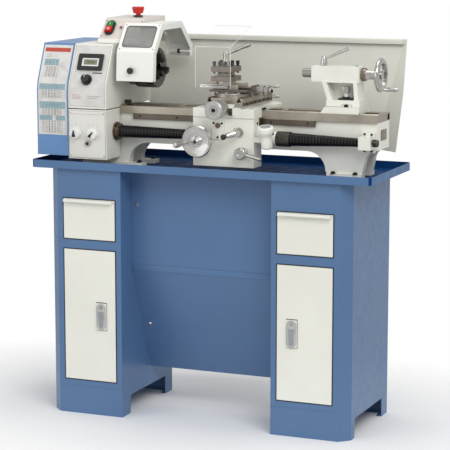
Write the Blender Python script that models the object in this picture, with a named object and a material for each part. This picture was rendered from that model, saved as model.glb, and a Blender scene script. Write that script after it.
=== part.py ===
"""Bench metal lathe on a two-cabinet stand: every separate piece as its own named solid.

Metres, +Z up.  X runs along the bed (headstock at -X, tailstock at +X), the operator
stands at -Y.  All sizes below are in shop coordinates: x = 0 halfway between the two
cabinets, y = 0 on their front faces, z = 0 on the floor.  finish() moves every piece by
FRAME_CENTRE so that the model's origin is the middle of its footprint on the floor.
"""
import math

import bmesh
import bpy
from mathutils import Matrix, Vector

# ---------------------------------------------------------------- driving dimensions
FRAME_CENTRE = Vector((0.0195, 0.15435, 0.0))   # middle of the whole envelope, on the floor
GAP = 0.0003                                   # clearance between touching pieces
SHEET = 0.002                                  # sheet steel thickness

# stand
CABINET_INNER_X = 0.250
CABINET_OUTER_X = 0.500
CABINET_DEPTH = 0.382
CABINET_HEIGHT = 0.7835
CORNER_CHAMFER = 0.031
FLOOR_PANEL_Z = 0.095
FRONT_MARGIN_INNER = 0.0207                    # cabinet edge to door, knee side
FRONT_MARGIN_OUTER = 0.0529                    # cabinet edge to door, outer side
DOOR_Z = (0.1117, 0.5289)
DRAWER_Z = (0.5634, 0.6893)
TRAY_X = (-0.552, 0.568)
TRAY_Y = (-0.0144, 0.3766)
TRAY_Z = (0.7840, 0.8084)
TRAY_FLOOR = TRAY_Z[0] + SHEET

# bed, way surface and the spindle line above it
BED_X = (-0.426, 0.547)
WAY_START = -0.2955
BED_Y = (0.095, 0.225)
BED_WALL_Y = (0.103, 0.217)
WAY_TOP = 0.978
WAY_BOTTOM = 0.955
BED_UNDERSIDE = 0.863
AXIS_Y = 0.160
AXIS_Z = 1.094
SCREW_Y = 0.070
SCREW_Z = 0.900

# headstock end
HEAD_X = (-0.4265, -0.296)
HEAD_BACK = 0.330
HEAD_BOTTOM = 0.9735
HEAD_TOP = 1.170
COVER_X = (-0.536, -0.428)
COVER_BOTTOM = 0.824
GEARBOX_Z = (0.8165, 0.9705)
GEARBOX_BACK = 0.0945
CHUCK_FACE = -0.191
CHUCK_RADIUS = 0.0625

# gear train in the end cover, module 2.5, simple flat-sided teeth
MODULE = 0.0025
SPINDLE_TEETH = 24
IDLER_TEETH = 51
SCREW_TEETH = 48
GEAR_X = (-0.462, -0.448)

# carriage
CARRIAGE_X = (-0.017, 0.182)
APRON_Y = (0.030, 0.0925)
APRON_BOTTOM = 0.8116
SADDLE_TOP = 0.988
SADDLE_Y = (0.030, 0.294)
CROSS_CENTRE_X = 0.0825
CROSS_TOP = 1.019
SWIVEL = (0.0825, 0.105)
TOP_SLIDE_X = (-0.019, 0.104)
TOP_SLIDE_Y = (0.095, 0.175)
TOP_SLIDE_TOP = 1.055
POST_CENTRE = (0.048, 0.135)
POST_BASE = 1.0633
POST_SIZE = 0.070

# tailstock
TAIL_BLOCK_X = (0.326, 0.476)
TAIL_BASE_X = (0.365, 0.488)
TAIL_BASE_Y = (0.116, 0.204)

# colours: linear base colour, roughness, metallic
BLUE = ("blue_paint", (0.105, 0.205, 0.400), 0.45, 0.0)
CREAM = ("cream_paint", (0.760, 0.750, 0.690), 0.45, 0.0)
WHITE = ("machine_white", (0.760, 0.765, 0.730), 0.40, 0.0)
GROUND = ("ground_steel", (0.330, 0.300, 0.265), 0.35, 1.0)
POLISHED = ("polished_steel", (0.620, 0.610, 0.600), 0.22, 1.0)
BLACK = ("black_oxide", (0.020, 0.020, 0.022), 0.45, 0.3)
PLASTIC = ("black_plastic", (0.015, 0.015, 0.016), 0.50, 0.0)
GREY = ("grey_plastic", (0.250, 0.255, 0.260), 0.50, 0.0)
CLEAR = ("clear_sheet", (0.800, 0.800, 0.790), 0.08, 0.0)
RED = ("red_plastic", (0.600, 0.030, 0.020), 0.35, 0.0)
GREEN = ("green_plastic", (0.020, 0.220, 0.060), 0.35, 0.0)
RUBBER = ("belt_rubber", (0.020, 0.020, 0.020), 0.80, 0.0)


# ---------------------------------------------------------------- modelling helpers
def clear_scene():
    for obj in list(bpy.data.objects):
        bpy.data.objects.remove(obj, do_unlink=True)


def material(spec):
    name, colour, roughness, metallic = spec
    found = bpy.data.materials.get(name)
    if found:
        return found
    made = bpy.data.materials.new(name)
    made.use_nodes = True
    shader = made.node_tree.nodes["Principled BSDF"]
    shader.inputs["Base Color"].default_value = (*colour, 1.0)
    shader.inputs["Roughness"].default_value = roughness
    shader.inputs["Metallic"].default_value = metallic
    return made


def solid(bm):
    """Make a scratch object from a closed bmesh in shop coordinates."""
    bmesh.ops.recalc_face_normals(bm, faces=bm.faces)
    mesh = bpy.data.meshes.new("scratch")
    bm.to_mesh(mesh)
    bm.free()
    obj = bpy.data.objects.new("scratch", mesh)
    bpy.context.scene.collection.objects.link(obj)
    return obj


def prism(axis, start, end, outline):
    """Extrude an outline along an axis.  Outline pairs: X -> (y, z), Y -> (x, z), Z -> (x, y)."""
    place = {
        "X": lambda a, b: Vector((start, a, b)),
        "Y": lambda a, b: Vector((a, start, b)),
        "Z": lambda a, b: Vector((a, b, start)),
    }[axis]
    push = {"X": (1, 0, 0), "Y": (0, 1, 0), "Z": (0, 0, 1)}[axis]
    bm = bmesh.new()
    face = bm.faces.new([bm.verts.new(place(a, b)) for a, b in outline])
    moved = bmesh.ops.extrude_face_region(bm, geom=[face])
    verts = [item for item in moved["geom"] if isinstance(item, bmesh.types.BMVert)]
    bmesh.ops.translate(bm, verts=verts, vec=Vector(push) * (end - start))
    return solid(bm)


def block(x, y, z):
    """Box from three (low, high) pairs."""
    outline = [(x[0], y[0]), (x[1], y[0]), (x[1], y[1]), (x[0], y[1])]
    return prism("Z", z[0], z[1], outline)


def turned(axis, centre, profile, sides=24):
    """Closed solid turned about an axis from (distance along the axis, radius) pairs.

    centre holds the two coordinates across the axis, in X, Y, Z order.
    """
    bm = bmesh.new()
    rings = []
    for along, radius in profile:
        ring = []
        for step in range(sides):
            angle = 2 * math.pi * step / sides
            a = centre[0] + radius * math.cos(angle)
            b = centre[1] + radius * math.sin(angle)
            ring.append(bm.verts.new(axis_point(axis, along, a, b)))
        rings.append(ring)
    for low, high in zip(rings, rings[1:]):
        for step in range(sides):
            after = (step + 1) % sides
            bm.faces.new((low[step], low[after], high[after], high[step]))
    bm.faces.new(rings[0])
    bm.faces.new(rings[-1])
    return solid(bm)


def axis_point(axis, along, a, b):
    if axis == "X":
        return Vector((along, a, b))
    if axis == "Y":
        return Vector((a, along, b))
    return Vector((a, b, along))


def rod(axis, start, end, centre, radius, sides=24):
    return turned(axis, centre, [(start, radius), (end, radius)], sides)


def bar(start, end, radius_start, radius_end, sides=12):
    """Round bar between two points in any direction."""
    start = Vector(start)
    end = Vector(end)
    length = (end - start).length
    bm = bmesh.new()
    bmesh.ops.create_cone(bm, cap_ends=True, segments=sides, radius1=radius_start,
                          radius2=radius_end, depth=length)
    turn = (end - start).to_track_quat("Z", "Y").to_matrix().to_4x4()
    bmesh.ops.transform(bm, matrix=Matrix.Translation((start + end) / 2) @ turn,
                        verts=bm.verts)
    return solid(bm)


def ball(centre, radius, segments=12, rings=8):
    bm = bmesh.new()
    bmesh.ops.create_uvsphere(bm, u_segments=segments, v_segments=rings, radius=radius)
    bmesh.ops.translate(bm, verts=bm.verts, vec=Vector(centre))
    return solid(bm)


def arc(centre, radius, start_deg, end_deg, steps):
    """Points along a circular arc, ends included."""
    points = []
    for step in range(steps + 1):
        angle = math.radians(start_deg + (end_deg - start_deg) * step / steps)
        points.append((centre[0] + radius * math.cos(angle),
                       centre[1] + radius * math.sin(angle)))
    return points


def combine(base, tools, operation):
    for tool in tools:
        modifier = base.modifiers.new("combine", "BOOLEAN")
        modifier.operation = operation
        modifier.solver = "EXACT"
        modifier.object = tool
        graph = bpy.context.evaluated_depsgraph_get()
        mesh = bpy.data.meshes.new_from_object(base.evaluated_get(graph))
        base.modifiers.clear()
        base.data = mesh
        bpy.data.objects.remove(tool, do_unlink=True)
    return base


def join(base, *others):
    return combine(base, others, "UNION")


def cut(base, *others):
    return combine(base, others, "DIFFERENCE")


def rotate(obj, angle_deg, axis, centre):
    """Turn a scratch solid about an axis through a point."""
    turn = Matrix.Rotation(math.radians(angle_deg), 4, axis)
    move = Matrix.Translation(Vector(centre))
    obj.data.transform(move @ turn @ move.inverted())
    return obj


def finish(obj, name, spec, pivot=(0.0, 0.0, 0.0)):
    """Name a piece, give it its material and put its origin on its pivot."""
    pivot = Vector(pivot)
    bm = bmesh.new()
    bm.from_mesh(obj.data)
    bmesh.ops.remove_doubles(bm, verts=bm.verts, dist=2e-6)
    bmesh.ops.dissolve_degenerate(bm, edges=bm.edges, dist=1e-6)
    bmesh.ops.translate(bm, verts=bm.verts, vec=-pivot)
    bm.to_mesh(obj.data)
    bm.free()
    obj.name = name
    obj.data.name = name
    obj.data.materials.clear()
    obj.data.materials.append(material(spec))
    obj.data.shade_smooth()
    obj.data.set_sharp_from_angle(angle=math.radians(35))
    obj.location = pivot - FRAME_CENTRE
    return obj


# ---------------------------------------------------------------- stand
def side_span(side, near, far):
    """X span measured outwards from the middle, on the left (-1) or right (+1)."""
    return tuple(sorted((side * near, side * far)))


def cabinet_outline(side, inset):
    """Plan of a cabinet: a rectangle with its outer front corner cut at 45 degrees."""
    near = CABINET_INNER_X + inset
    far = CABINET_OUTER_X - inset
    back = CABINET_DEPTH - inset
    chamfer = CORNER_CHAMFER - inset * (2 - math.sqrt(2))
    points = [(near, inset), (far - chamfer, inset), (far, inset + chamfer),
              (far, back), (near, back)]
    return [(side * x, y) for x, y in points]


def door_span(side):
    return side_span(side, CABINET_INNER_X + FRONT_MARGIN_INNER,
                     CABINET_OUTER_X - FRONT_MARGIN_OUTER)


def widened(span, amount):
    return (span[0] - amount, span[1] + amount)


def cabinet(side):
    """Folded sheet body: inside space, plinth with foot cut-outs, door and drawer openings."""
    body = prism("Z", 0.0, CABINET_HEIGHT, cabinet_outline(side, 0.0))
    inside = prism("Z", FLOOR_PANEL_Z, CABINET_HEIGHT - SHEET, cabinet_outline(side, SHEET))
    plinth = prism("Z", SHEET, FLOOR_PANEL_Z - SHEET, cabinet_outline(side, SHEET))
    foot_flange = 0.018
    mouth = prism("Z", -0.01, SHEET * 2, cabinet_outline(side, foot_flange))
    span = door_span(side)
    openings = [block(widened(span, 0.001), (-0.01, 0.01), widened(height, 0.001))
                for height in (DOOR_Z, DRAWER_Z)]
    cut_depth = (0.061, 0.327)
    arch = prism("X", -0.6, 0.6, [(cut_depth[0], -0.01), (cut_depth[1], -0.01),
                                  (cut_depth[1], 0.060), (cut_depth[0] + 0.008, 0.060),
                                  (cut_depth[0], 0.052)])
    body = cut(body, inside, plinth, mouth, *openings)
    return cut(body, arch)


def drawer(side):
    """Front panel with a folded pull lip, and an open-topped box behind it."""
    span = door_span(side)
    panel = block(span, (-0.001, 0.014), DRAWER_Z)
    lip = prism("X", span[0] + 0.004, span[1] - 0.004,
                [(0.002, 0.6885), (-0.011, 0.6885), (-0.015, 0.6845), (-0.015, 0.6800),
                 (-0.0125, 0.6800), (-0.0125, 0.6835), (-0.010, 0.6860), (0.002, 0.6860)])
    box_span = widened(span, -0.008)
    box_low = DRAWER_Z[0] + 0.006
    box_high = DRAWER_Z[1] - 0.020
    box = block(box_span, (0.010, 0.345), (box_low, box_high))
    space = block(widened(box_span, -SHEET), (0.016, 0.345 - SHEET), (box_low + SHEET, 0.72))
    return cut(join(panel, box, lip), space)


def door(side):
    """Folded pan door with a pocket for its latch, hinged on its outer edge."""
    span = door_span(side)
    leaf = block(span, (-0.001, 0.015), DOOR_Z)
    hollow = block(widened(span, -SHEET), (-0.001 + SHEET, 0.02), widened(DOOR_Z, -SHEET))
    hole = block(latch_span(side, 0.001), (-0.02, 0.005), (0.275, 0.365))
    leaf = cut(leaf, hollow, hole)
    pivot = (side * (CABINET_OUTER_X - FRONT_MARGIN_OUTER + 0.0005), -0.001, DOOR_Z[0])
    return leaf, pivot


def latch_span(side, play):
    near = CABINET_INNER_X + FRONT_MARGIN_INNER + 0.0305
    return widened(side_span(side, near, near + 0.035), play)


def door_latch(side):
    """Paddle latch: a dished plate that swings out about its top edge."""
    paddle = block(latch_span(side, -0.0005), (-0.005, 0.002), (0.277, 0.3625))
    dish = block(latch_span(side, -0.006), (-0.006, -0.002), (0.285, 0.335))
    paddle = cut(paddle, dish)
    centre = sum(latch_span(side, 0.0)) / 2
    return paddle, (centre, 0.0, 0.3600)


def chip_tray():
    def plan(inset):
        corner = 0.010 - inset * (2 - math.sqrt(2))
        x0, x1 = TRAY_X[0] + inset, TRAY_X[1] - inset
        y0, y1 = TRAY_Y[0] + inset, TRAY_Y[1] - inset
        return [(x0 + corner, y0), (x1 - corner, y0), (x1, y0 + corner), (x1, y1 - corner),
                (x1 - corner, y1), (x0 + corner, y1), (x0, y1 - corner), (x0, y0 + corner)]

    tray = prism("Z", TRAY_Z[0], TRAY_Z[1], plan(0.0))
    return cut(tray, prism("Z", TRAY_FLOOR, TRAY_Z[1] + 0.01, plan(SHEET)))


def knee_panel():
    """Panel between the cabinets: upright at the top, then sloping back to the floor panel."""
    front = [(0.0815, CABINET_HEIGHT - 0.001), (0.0815, 0.4610), (0.2200, 0.1190)]
    back = [(y + SHEET, z) for y, z in reversed(front)]
    return prism("X", -CABINET_INNER_X + GAP, CABINET_INNER_X - GAP, front + back)


def build_stand():
    for side, word in ((-1, "left"), (1, "right")):
        finish(cabinet(side), word + "_cabinet", BLUE)
        finish(drawer(side), word + "_drawer", CREAM)
        leaf, pivot = door(side)
        finish(leaf, word + "_door", CREAM, pivot)
        paddle, pivot = door_latch(side)
        finish(paddle, word + "_door_latch", GREY, pivot)
    finish(chip_tray(), "chip_tray", BLUE)
    finish(knee_panel(), "knee_panel", BLUE)


# ---------------------------------------------------------------- bed and leadscrew
def bed():
    """Two-wall cast bed: ways on top, arched feet below, pockets between cross ribs."""
    foot = TRAY_FLOOR + GAP
    left_end, right_end = BED_X
    outline = [(left_end, foot), (-0.220, foot), (-0.220, foot + 0.012)]
    outline += [(-0.2675, foot + 0.012)]
    outline += arc((-0.206, 0.8010), 0.062, 180, 90, 6)
    outline += [(0.3250, BED_UNDERSIDE)]
    outline += arc((0.3250, 0.8030), 0.060, 90, 0, 6)[1:]
    outline += [(0.3900, foot + 0.014), (0.3900, foot), (0.5000, foot), (0.5000, foot + 0.014)]
    outline += arc((right_end, 0.8330), 0.040, 180, 90, 5)
    outline += [(right_end, WAY_TOP), (WAY_START, WAY_TOP), (WAY_START, HEAD_BOTTOM - GAP),
                (left_end, HEAD_BOTTOM - GAP)]
    body = prism("Y", BED_Y[0], BED_Y[1], outline)
    waists = [block((left_end - 0.01, right_end + 0.01), span, (foot + 0.014, WAY_BOTTOM))
              for span in ((BED_Y[0] - 0.01, BED_WALL_Y[0]), (BED_WALL_Y[1], BED_Y[1] + 0.01))]
    pockets = []
    ribs = (-0.400, -0.300, -0.110, 0.060, 0.230, 0.390, 0.535)
    for low, high in zip(ribs, ribs[1:]):
        pockets.append(block((low + 0.006, high - 0.006), (0.130, 0.190), (0.70, 1.00)))
    vee = prism("X", WAY_START, right_end, [(0.104, WAY_TOP - 0.001), (0.118, WAY_TOP - 0.001),
                                            (0.112, WAY_TOP + 0.004), (0.110, WAY_TOP + 0.004)])
    body = cut(body, *waists)
    body = cut(body, *pockets)
    return join(body, vee)


def rack():
    """Toothed strip under the front way, teeth facing down."""
    low, high = -0.249, 0.353
    pitch = 0.0098
    outline = [(low, 0.9370)]
    count = int((high - low) / pitch)
    for tooth in range(count):
        left = low + tooth * pitch
        outline += [(left + 0.0014, 0.9370), (left + 0.0024, 0.9395),
                    (left + 0.0066, 0.9395), (left + 0.0076, 0.9370)]
    outline += [(high, 0.9370), (high, WAY_BOTTOM - GAP), (low, WAY_BOTTOM - GAP)]
    return prism("Y", 0.0945, BED_WALL_Y[0] - GAP, outline)


def leadscrew():
    """Screw from the change gears, through the gearbox and apron, to its end bearing."""
    profile = [(-0.470, 0.0080), (-0.300, 0.0080), (-0.300, 0.0095), (0.500, 0.0095),
               (0.500, 0.0070), (0.5445, 0.0070), (0.5445, 0.0110), (0.5600, 0.0110)]
    return turned("X", (SCREW_Y, SCREW_Z), profile, 16)


def leadscrew_bracket():
    """Bearing block on a flange bolted to the bed's front wall."""
    flange = block((0.500, 0.542), (0.092, BED_WALL_Y[0] - GAP), (0.868, 0.9275))
    body = block((0.504, 0.542), (0.051, 0.094), (0.8795, 0.9185))
    return cut(join(flange, body), rod("X", 0.49, 0.56, (SCREW_Y, SCREW_Z), 0.0073, 16))


def screw_cover(start, end, radius_start, radius_end):
    """Telescoping spiral cover round the leadscrew, as one hollow cone."""
    sides = 20
    outer = turned("X", (SCREW_Y, SCREW_Z), [(start, radius_start), (end, radius_end)], sides)
    inner = rod("X", start - 0.01, end + 0.01, (SCREW_Y, SCREW_Z), 0.0115, sides)
    return cut(outer, inner)


def build_bed():
    screw_pivot = (0.0, SCREW_Y, SCREW_Z)
    finish(bed(), "bed", WHITE)
    finish(rack(), "rack", GROUND)
    finish(leadscrew(), "leadscrew", GROUND, screw_pivot)
    finish(leadscrew_bracket(), "leadscrew_bracket", WHITE)
    finish(screw_cover(-0.2800, -0.0195, 0.0195, 0.0140), "leadscrew_cover_left", BLACK)
    finish(screw_cover(0.2865, 0.4985, 0.0200, 0.0130), "leadscrew_cover_right", BLACK)


# ---------------------------------------------------------------- feed gearbox
def gearbox_housing():
    """Cast box in front of the bed, open at the back, with a screw bearing flange."""
    body = block(HEAD_X, (0.0, GEARBOX_BACK), GEARBOX_Z)
    hollow = block(widened(HEAD_X, -0.010), (0.010, 0.12), widened(GEARBOX_Z, -0.010))
    flange = rod("X", HEAD_X[1] - 0.005, -0.2810, (SCREW_Y, SCREW_Z), 0.0240, 24)
    bore = rod("X", -0.45, -0.27, (SCREW_Y, SCREW_Z), 0.0099, 16)
    shafts = [rod("Y", -0.01, 0.02, (x, z), 0.0043, 12) for x, z in KNOB_PLACES]
    return cut(join(cut(body, hollow), flange), bore, *shafts)


KNOB_PLACES = ((-0.3995, 0.8962), (-0.3400, 0.8957))


def selector_knob(x, z):
    """Round dial knob with a raised arrow and a stub shaft into the gearbox."""
    dial = turned("Y", (x, z), [(-0.0203, 0.0145), (-0.0180, 0.0165), (-0.0010, 0.0175)], 24)
    arrow = prism("Y", -0.0235, -0.0190, [(x - 0.005, z - 0.010), (x + 0.005, z - 0.010),
                                          (x, z + 0.011)])
    shaft = rod("Y", -0.002, 0.024, (x, z), 0.0040, 12)
    return join(dial, arrow, shaft)


def build_gearbox():
    finish(gearbox_housing(), "gearbox_housing", WHITE)
    for word, (x, z) in zip(("left", "right"), KNOB_PLACES):
        finish(selector_knob(x, z), "selector_knob_" + word, WHITE, (x, 0.0, z))


# ---------------------------------------------------------------- headstock
def head_front(inset, bottom):
    """Front edge of the headstock and end cover: upright, then leaning back to the top."""
    return [(inset, bottom), (inset, 1.0300), (0.003 + inset, 1.0500),
            (0.0545 + inset, HEAD_TOP - inset)]


def headstock_casting():
    """Cast box over the bed, open below, with a bearing boss at each end of the spindle."""
    body = prism("X", HEAD_X[0], HEAD_X[1],
                 head_front(0.0, HEAD_BOTTOM) + [(HEAD_BACK, HEAD_TOP), (HEAD_BACK, HEAD_BOTTOM)])
    wall = 0.012
    hollow = prism("X", HEAD_X[0] + wall, HEAD_X[1] - wall,
                   head_front(wall, HEAD_BOTTOM - 0.01)
                   + [(HEAD_BACK - wall, HEAD_TOP - wall), (HEAD_BACK - wall, HEAD_BOTTOM - 0.01)])
    body = cut(body, hollow)
    centre = (AXIS_Y, AXIS_Z)
    bosses = [rod("X", HEAD_X[0] + 0.002, HEAD_X[0] + 0.034, centre, 0.038, 24),
              rod("X", HEAD_X[1] - 0.034, HEAD_X[1] - 0.002, centre, 0.042, 24)]
    bore = rod("X", HEAD_X[0] - 0.02, HEAD_X[1] + 0.02, centre, 0.0254, 24)
    return cut(join(body, *bosses), bore)


def lean(obj):
    """Turn a piece from facing straight out to facing along the sloping headstock panel."""
    slope = math.degrees(math.atan2(0.0515, HEAD_TOP - 1.0500))
    return rotate(obj, -slope, "X", PANEL_POINT)


PANEL_POINT = (0.0, 0.0289, 1.1100)            # a point on the sloping front of the headstock


def display_unit():
    """Speed display: black frame with a window recess, on the sloping panel."""
    x0, x1 = -0.4025, -0.3195
    y = PANEL_POINT[1] - GAP
    frame = block((x0, x1), (y - 0.007, y), (1.0880, 1.1400))
    window = block((x0 + 0.012, x1 - 0.012), (y - 0.012, y - 0.0035), (1.1005, 1.1275))
    return lean(cut(frame, window))


def speed_dial():
    """Speed knob on a turned skirt, standing out square to the sloping panel."""
    x, z = -0.3650, 1.0570
    y = PANEL_POINT[1] - GAP
    skirt = turned("Y", (x, z), [(y - 0.0220, 0.0085), (y - 0.0200, 0.0100), (y - 0.0060, 0.0110),
                                 (y - 0.0060, 0.0165), (y - 0.0004, 0.0175)], 20)
    return lean(skirt)


def panel_point(x, z):
    """Where a piece at height z before leaning ends up on the sloping panel."""
    slope = math.atan2(0.0515, HEAD_TOP - 1.0500)
    down = z - PANEL_POINT[2]
    return (x, PANEL_POINT[1] + math.sin(slope) * down, PANEL_POINT[2] + math.cos(slope) * down)


def end_cover():
    """Sheet cover over the change gears and belt, hinged at its back inner edge."""
    outer = prism("X", COVER_X[0], COVER_X[1],
                  head_front(0.0, COVER_BOTTOM) + [(HEAD_BACK, HEAD_TOP), (HEAD_BACK, COVER_BOTTOM)])
    inner = prism("X", COVER_X[0] + SHEET, COVER_X[1] + 0.01,
                  head_front(SHEET, COVER_BOTTOM + SHEET)
                  + [(HEAD_BACK - SHEET, HEAD_TOP - SHEET), (HEAD_BACK - SHEET, COVER_BOTTOM + SHEET)])
    return cut(outer, inner)


def build_headstock():
    finish(headstock_casting(), "headstock_casting", WHITE)
    finish(display_unit(), "display_unit", PLASTIC)
    finish(speed_dial(), "speed_dial", PLASTIC, panel_point(-0.3650, 1.0570))
    finish(end_cover(), "end_cover", BLUE, (COVER_X[1], HEAD_BACK + 0.001, COVER_BOTTOM))


# ---------------------------------------------------------------- control box
BOX_X = (-0.361, -0.2295)
BUTTON_CENTRE = (-0.3340, 0.1130, 1.2160)      # on the sloping face of the control box
BOX_SLOPE = math.degrees(math.atan2(0.0525, 0.0570))


def control_box():
    """Switch box on the headstock: base flange, sloping front face, flat top with a stop."""
    outline = [(0.084, HEAD_TOP + GAP), (0.084, 1.1830), (0.0885, 1.1870), (0.1410, 1.2440),
               (0.1460, 1.2465), (0.2950, 1.2490), (0.2950, HEAD_TOP + GAP)]
    box = prism("X", BOX_X[0], BOX_X[1], outline)
    inner = [(0.096, HEAD_TOP - 0.01), (0.096, 1.1890), (0.1420, 1.2400),
             (0.2920, 1.2450), (0.2920, HEAD_TOP - 0.01)]
    box = cut(box, prism("X", BOX_X[0] + 0.003, BOX_X[1] - 0.003, inner))
    holes = [button_shape(offset, 0.0005, -0.02, 0.02) for offset in BUTTON_OFFSETS]
    stop_hole = rod("Z", 1.20, 1.26, STOP_PLACE, 0.0085, 16)
    return cut(box, stop_hole, *holes)


BUTTON_OFFSETS = (0.0105, -0.0105)
STOP_PLACE = (-0.279, 0.200)


def button_shape(offset, play, low, high):
    """Rectangular push button stem, built upright and then leaned onto the sloping face."""
    x, y, z = BUTTON_CENTRE
    shape = block((x - 0.0100 - play, x + 0.0100 + play), (y + low, y + high),
                  (z + offset - 0.0095 - play, z + offset + 0.0095 + play))
    return rotate(shape, -BOX_SLOPE, "X", BUTTON_CENTRE)


def emergency_stop():
    """Mushroom head on a stem through the top of the control box."""
    profile = [(1.2330, 0.0080), (1.2595, 0.0080), (1.2595, 0.0155), (1.2670, 0.0165),
               (1.2730, 0.0190), (1.2785, 0.0190), (1.2800, 0.0170)]
    return turned("Z", STOP_PLACE, profile, 24)


def build_controls():
    finish(control_box(), "control_box", WHITE)
    finish(button_shape(BUTTON_OFFSETS[0], 0.0, -0.0110, 0.0080), "start_button", GREEN, BUTTON_CENTRE)
    finish(button_shape(BUTTON_OFFSETS[1], 0.0, -0.0130, 0.0080), "stop_button", RED, BUTTON_CENTRE)
    finish(emergency_stop(), "emergency_stop", RED, (*STOP_PLACE, 1.249))


# ---------------------------------------------------------------- spindle and chuck
def spindle():
    """Hollow spindle with its nose flange; the pulley and gear sit on its rear end."""
    profile = [(-0.5150, 0.0190), (-0.4270, 0.0190), (-0.4270, 0.0250), (-0.2960, 0.0250),
               (-0.2955, 0.0250), (-0.2955, 0.0400), (-0.2800, 0.0400)]
    body = turned("X", (AXIS_Y, AXIS_Z), profile, 24)
    return cut(body, rod("X", -0.53, -0.27, (AXIS_Y, AXIS_Z), 0.0130, 16))


def chuck_body():
    """Three-jaw chuck body with radial jaw slots and a through hole."""
    profile = [(-0.2797, 0.0550), (-0.2560, 0.0550), (-0.2560, 0.0610), (-0.2545, CHUCK_RADIUS),
               (CHUCK_FACE - 0.0015, CHUCK_RADIUS), (CHUCK_FACE, 0.0610)]
    body = turned("X", (AXIS_Y, AXIS_Z), profile, 48)
    tools = [rod("X", -0.30, -0.18, (AXIS_Y, AXIS_Z), 0.0160, 24)]
    for index in range(3):
        slot = block((-0.2130, -0.18), (AXIS_Y - 0.0085, AXIS_Y + 0.0085),
                     (AXIS_Z, AXIS_Z + 0.08))
        tools.append(rotate(slot, 120 * index + JAW_TURN, "X", (0, AXIS_Y, AXIS_Z)))
    key = rod("Z", AXIS_Z + 0.050, AXIS_Z + 0.08, (-0.2360, AXIS_Y), 0.0055, 12)
    tools.append(rotate(key, 60 + JAW_TURN, "X", (0, AXIS_Y, AXIS_Z)))
    return cut(body, *tools)


JAW_TURN = 12.0                                # degrees the chuck stands turned at rest


def chuck_jaw(index):
    """Stepped jaw in its radial slot."""
    outline = [(-0.2127, 0.0190), (-0.1670, 0.0190), (-0.1670, 0.0300), (-0.1760, 0.0300),
               (-0.1760, 0.0430), (-0.1850, 0.0430), (-0.1850, 0.0560), (-0.2127, 0.0560)]
    points = [(x, AXIS_Z + r) for x, r in outline]
    jaw = prism("Y", AXIS_Y - 0.0082, AXIS_Y + 0.0082, points)
    return rotate(jaw, 120 * index + JAW_TURN, "X", (0, AXIS_Y, AXIS_Z))


def build_spindle():
    centre = (0.0, AXIS_Y, AXIS_Z)
    finish(spindle(), "spindle", GROUND, centre)
    finish(chuck_body(), "chuck_body", GROUND, centre)
    for index in range(3):
        finish(chuck_jaw(index), "chuck_jaw_%d" % (index + 1), BLACK, centre)


# ---------------------------------------------------------------- drive behind the end cover
MOTOR_CENTRE = (0.285, 0.905)
MOTOR_PULLEY_R = 0.025
SPINDLE_PULLEY_R = 0.050
PULLEY_X = (-0.500, -0.478)


def idler_centre():
    """Idler gear centre, from its distances to the spindle and the leadscrew."""
    spindle_point = Vector((AXIS_Y, AXIS_Z))
    screw_point = Vector((SCREW_Y, SCREW_Z))
    to_spindle = MODULE * (SPINDLE_TEETH + IDLER_TEETH) / 2
    to_screw = MODULE * (IDLER_TEETH + SCREW_TEETH) / 2
    line = screw_point - spindle_point
    length = line.length
    along = (to_spindle ** 2 - to_screw ** 2 + length ** 2) / (2 * length)
    aside = math.sqrt(max(to_spindle ** 2 - along ** 2, 0.0))
    direction = line / length
    across = Vector((-direction[1], direction[0]))
    return spindle_point + direction * along + across * aside


def gear(centre, teeth, tooth_angle, bore):
    """Flat-sided spur gear with one tooth centred on tooth_angle (radians in the YZ plane)."""
    pitch_radius = MODULE * teeth / 2
    half_pitch = math.pi / teeth
    outline = []
    for index in range(teeth):
        middle = tooth_angle + 2 * math.pi * index / teeth
        for radius, share in ((pitch_radius - 1.20 * MODULE, -0.66), (pitch_radius + 0.90 * MODULE, -0.22),
                              (pitch_radius + 0.90 * MODULE, 0.22), (pitch_radius - 1.20 * MODULE, 0.66)):
            angle = middle + share * half_pitch
            outline.append((centre[0] + radius * math.cos(angle),
                            centre[1] + radius * math.sin(angle)))
    body = prism("X", GEAR_X[0], GEAR_X[1], outline)
    return cut(body, rod("X", GEAR_X[0] - 0.01, GEAR_X[1] + 0.01, centre, bore, 16))


def bearing_angle(centre_from, centre_to):
    return math.atan2(centre_to[1] - centre_from[1], centre_to[0] - centre_from[0])


def pulley(centre, radius, bore):
    """Flanged flat pulley."""
    low, high = PULLEY_X
    profile = [(low, radius + 0.004), (low + 0.003, radius + 0.004), (low + 0.003, radius),
               (high - 0.003, radius), (high - 0.003, radius + 0.004), (high, radius + 0.004)]
    body = turned("X", centre, profile, 28)
    return cut(body, rod("X", low - 0.01, high + 0.01, centre, bore, 16))


def spindle_pulley(idler):
    """Pulley and first change gear in one piece on the spindle's rear end."""
    centre = (AXIS_Y, AXIS_Z)
    bore = 0.0198
    hub = rod("X", PULLEY_X[1] - 0.002, GEAR_X[0] + 0.002, centre, 0.0245, 24)
    hub = cut(hub, rod("X", PULLEY_X[1] - 0.01, GEAR_X[0] + 0.01, centre, bore, 16))
    first = gear(centre, SPINDLE_TEETH, bearing_angle(centre, idler), bore)
    return join(pulley(centre, SPINDLE_PULLEY_R, bore), hub, first)


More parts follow.
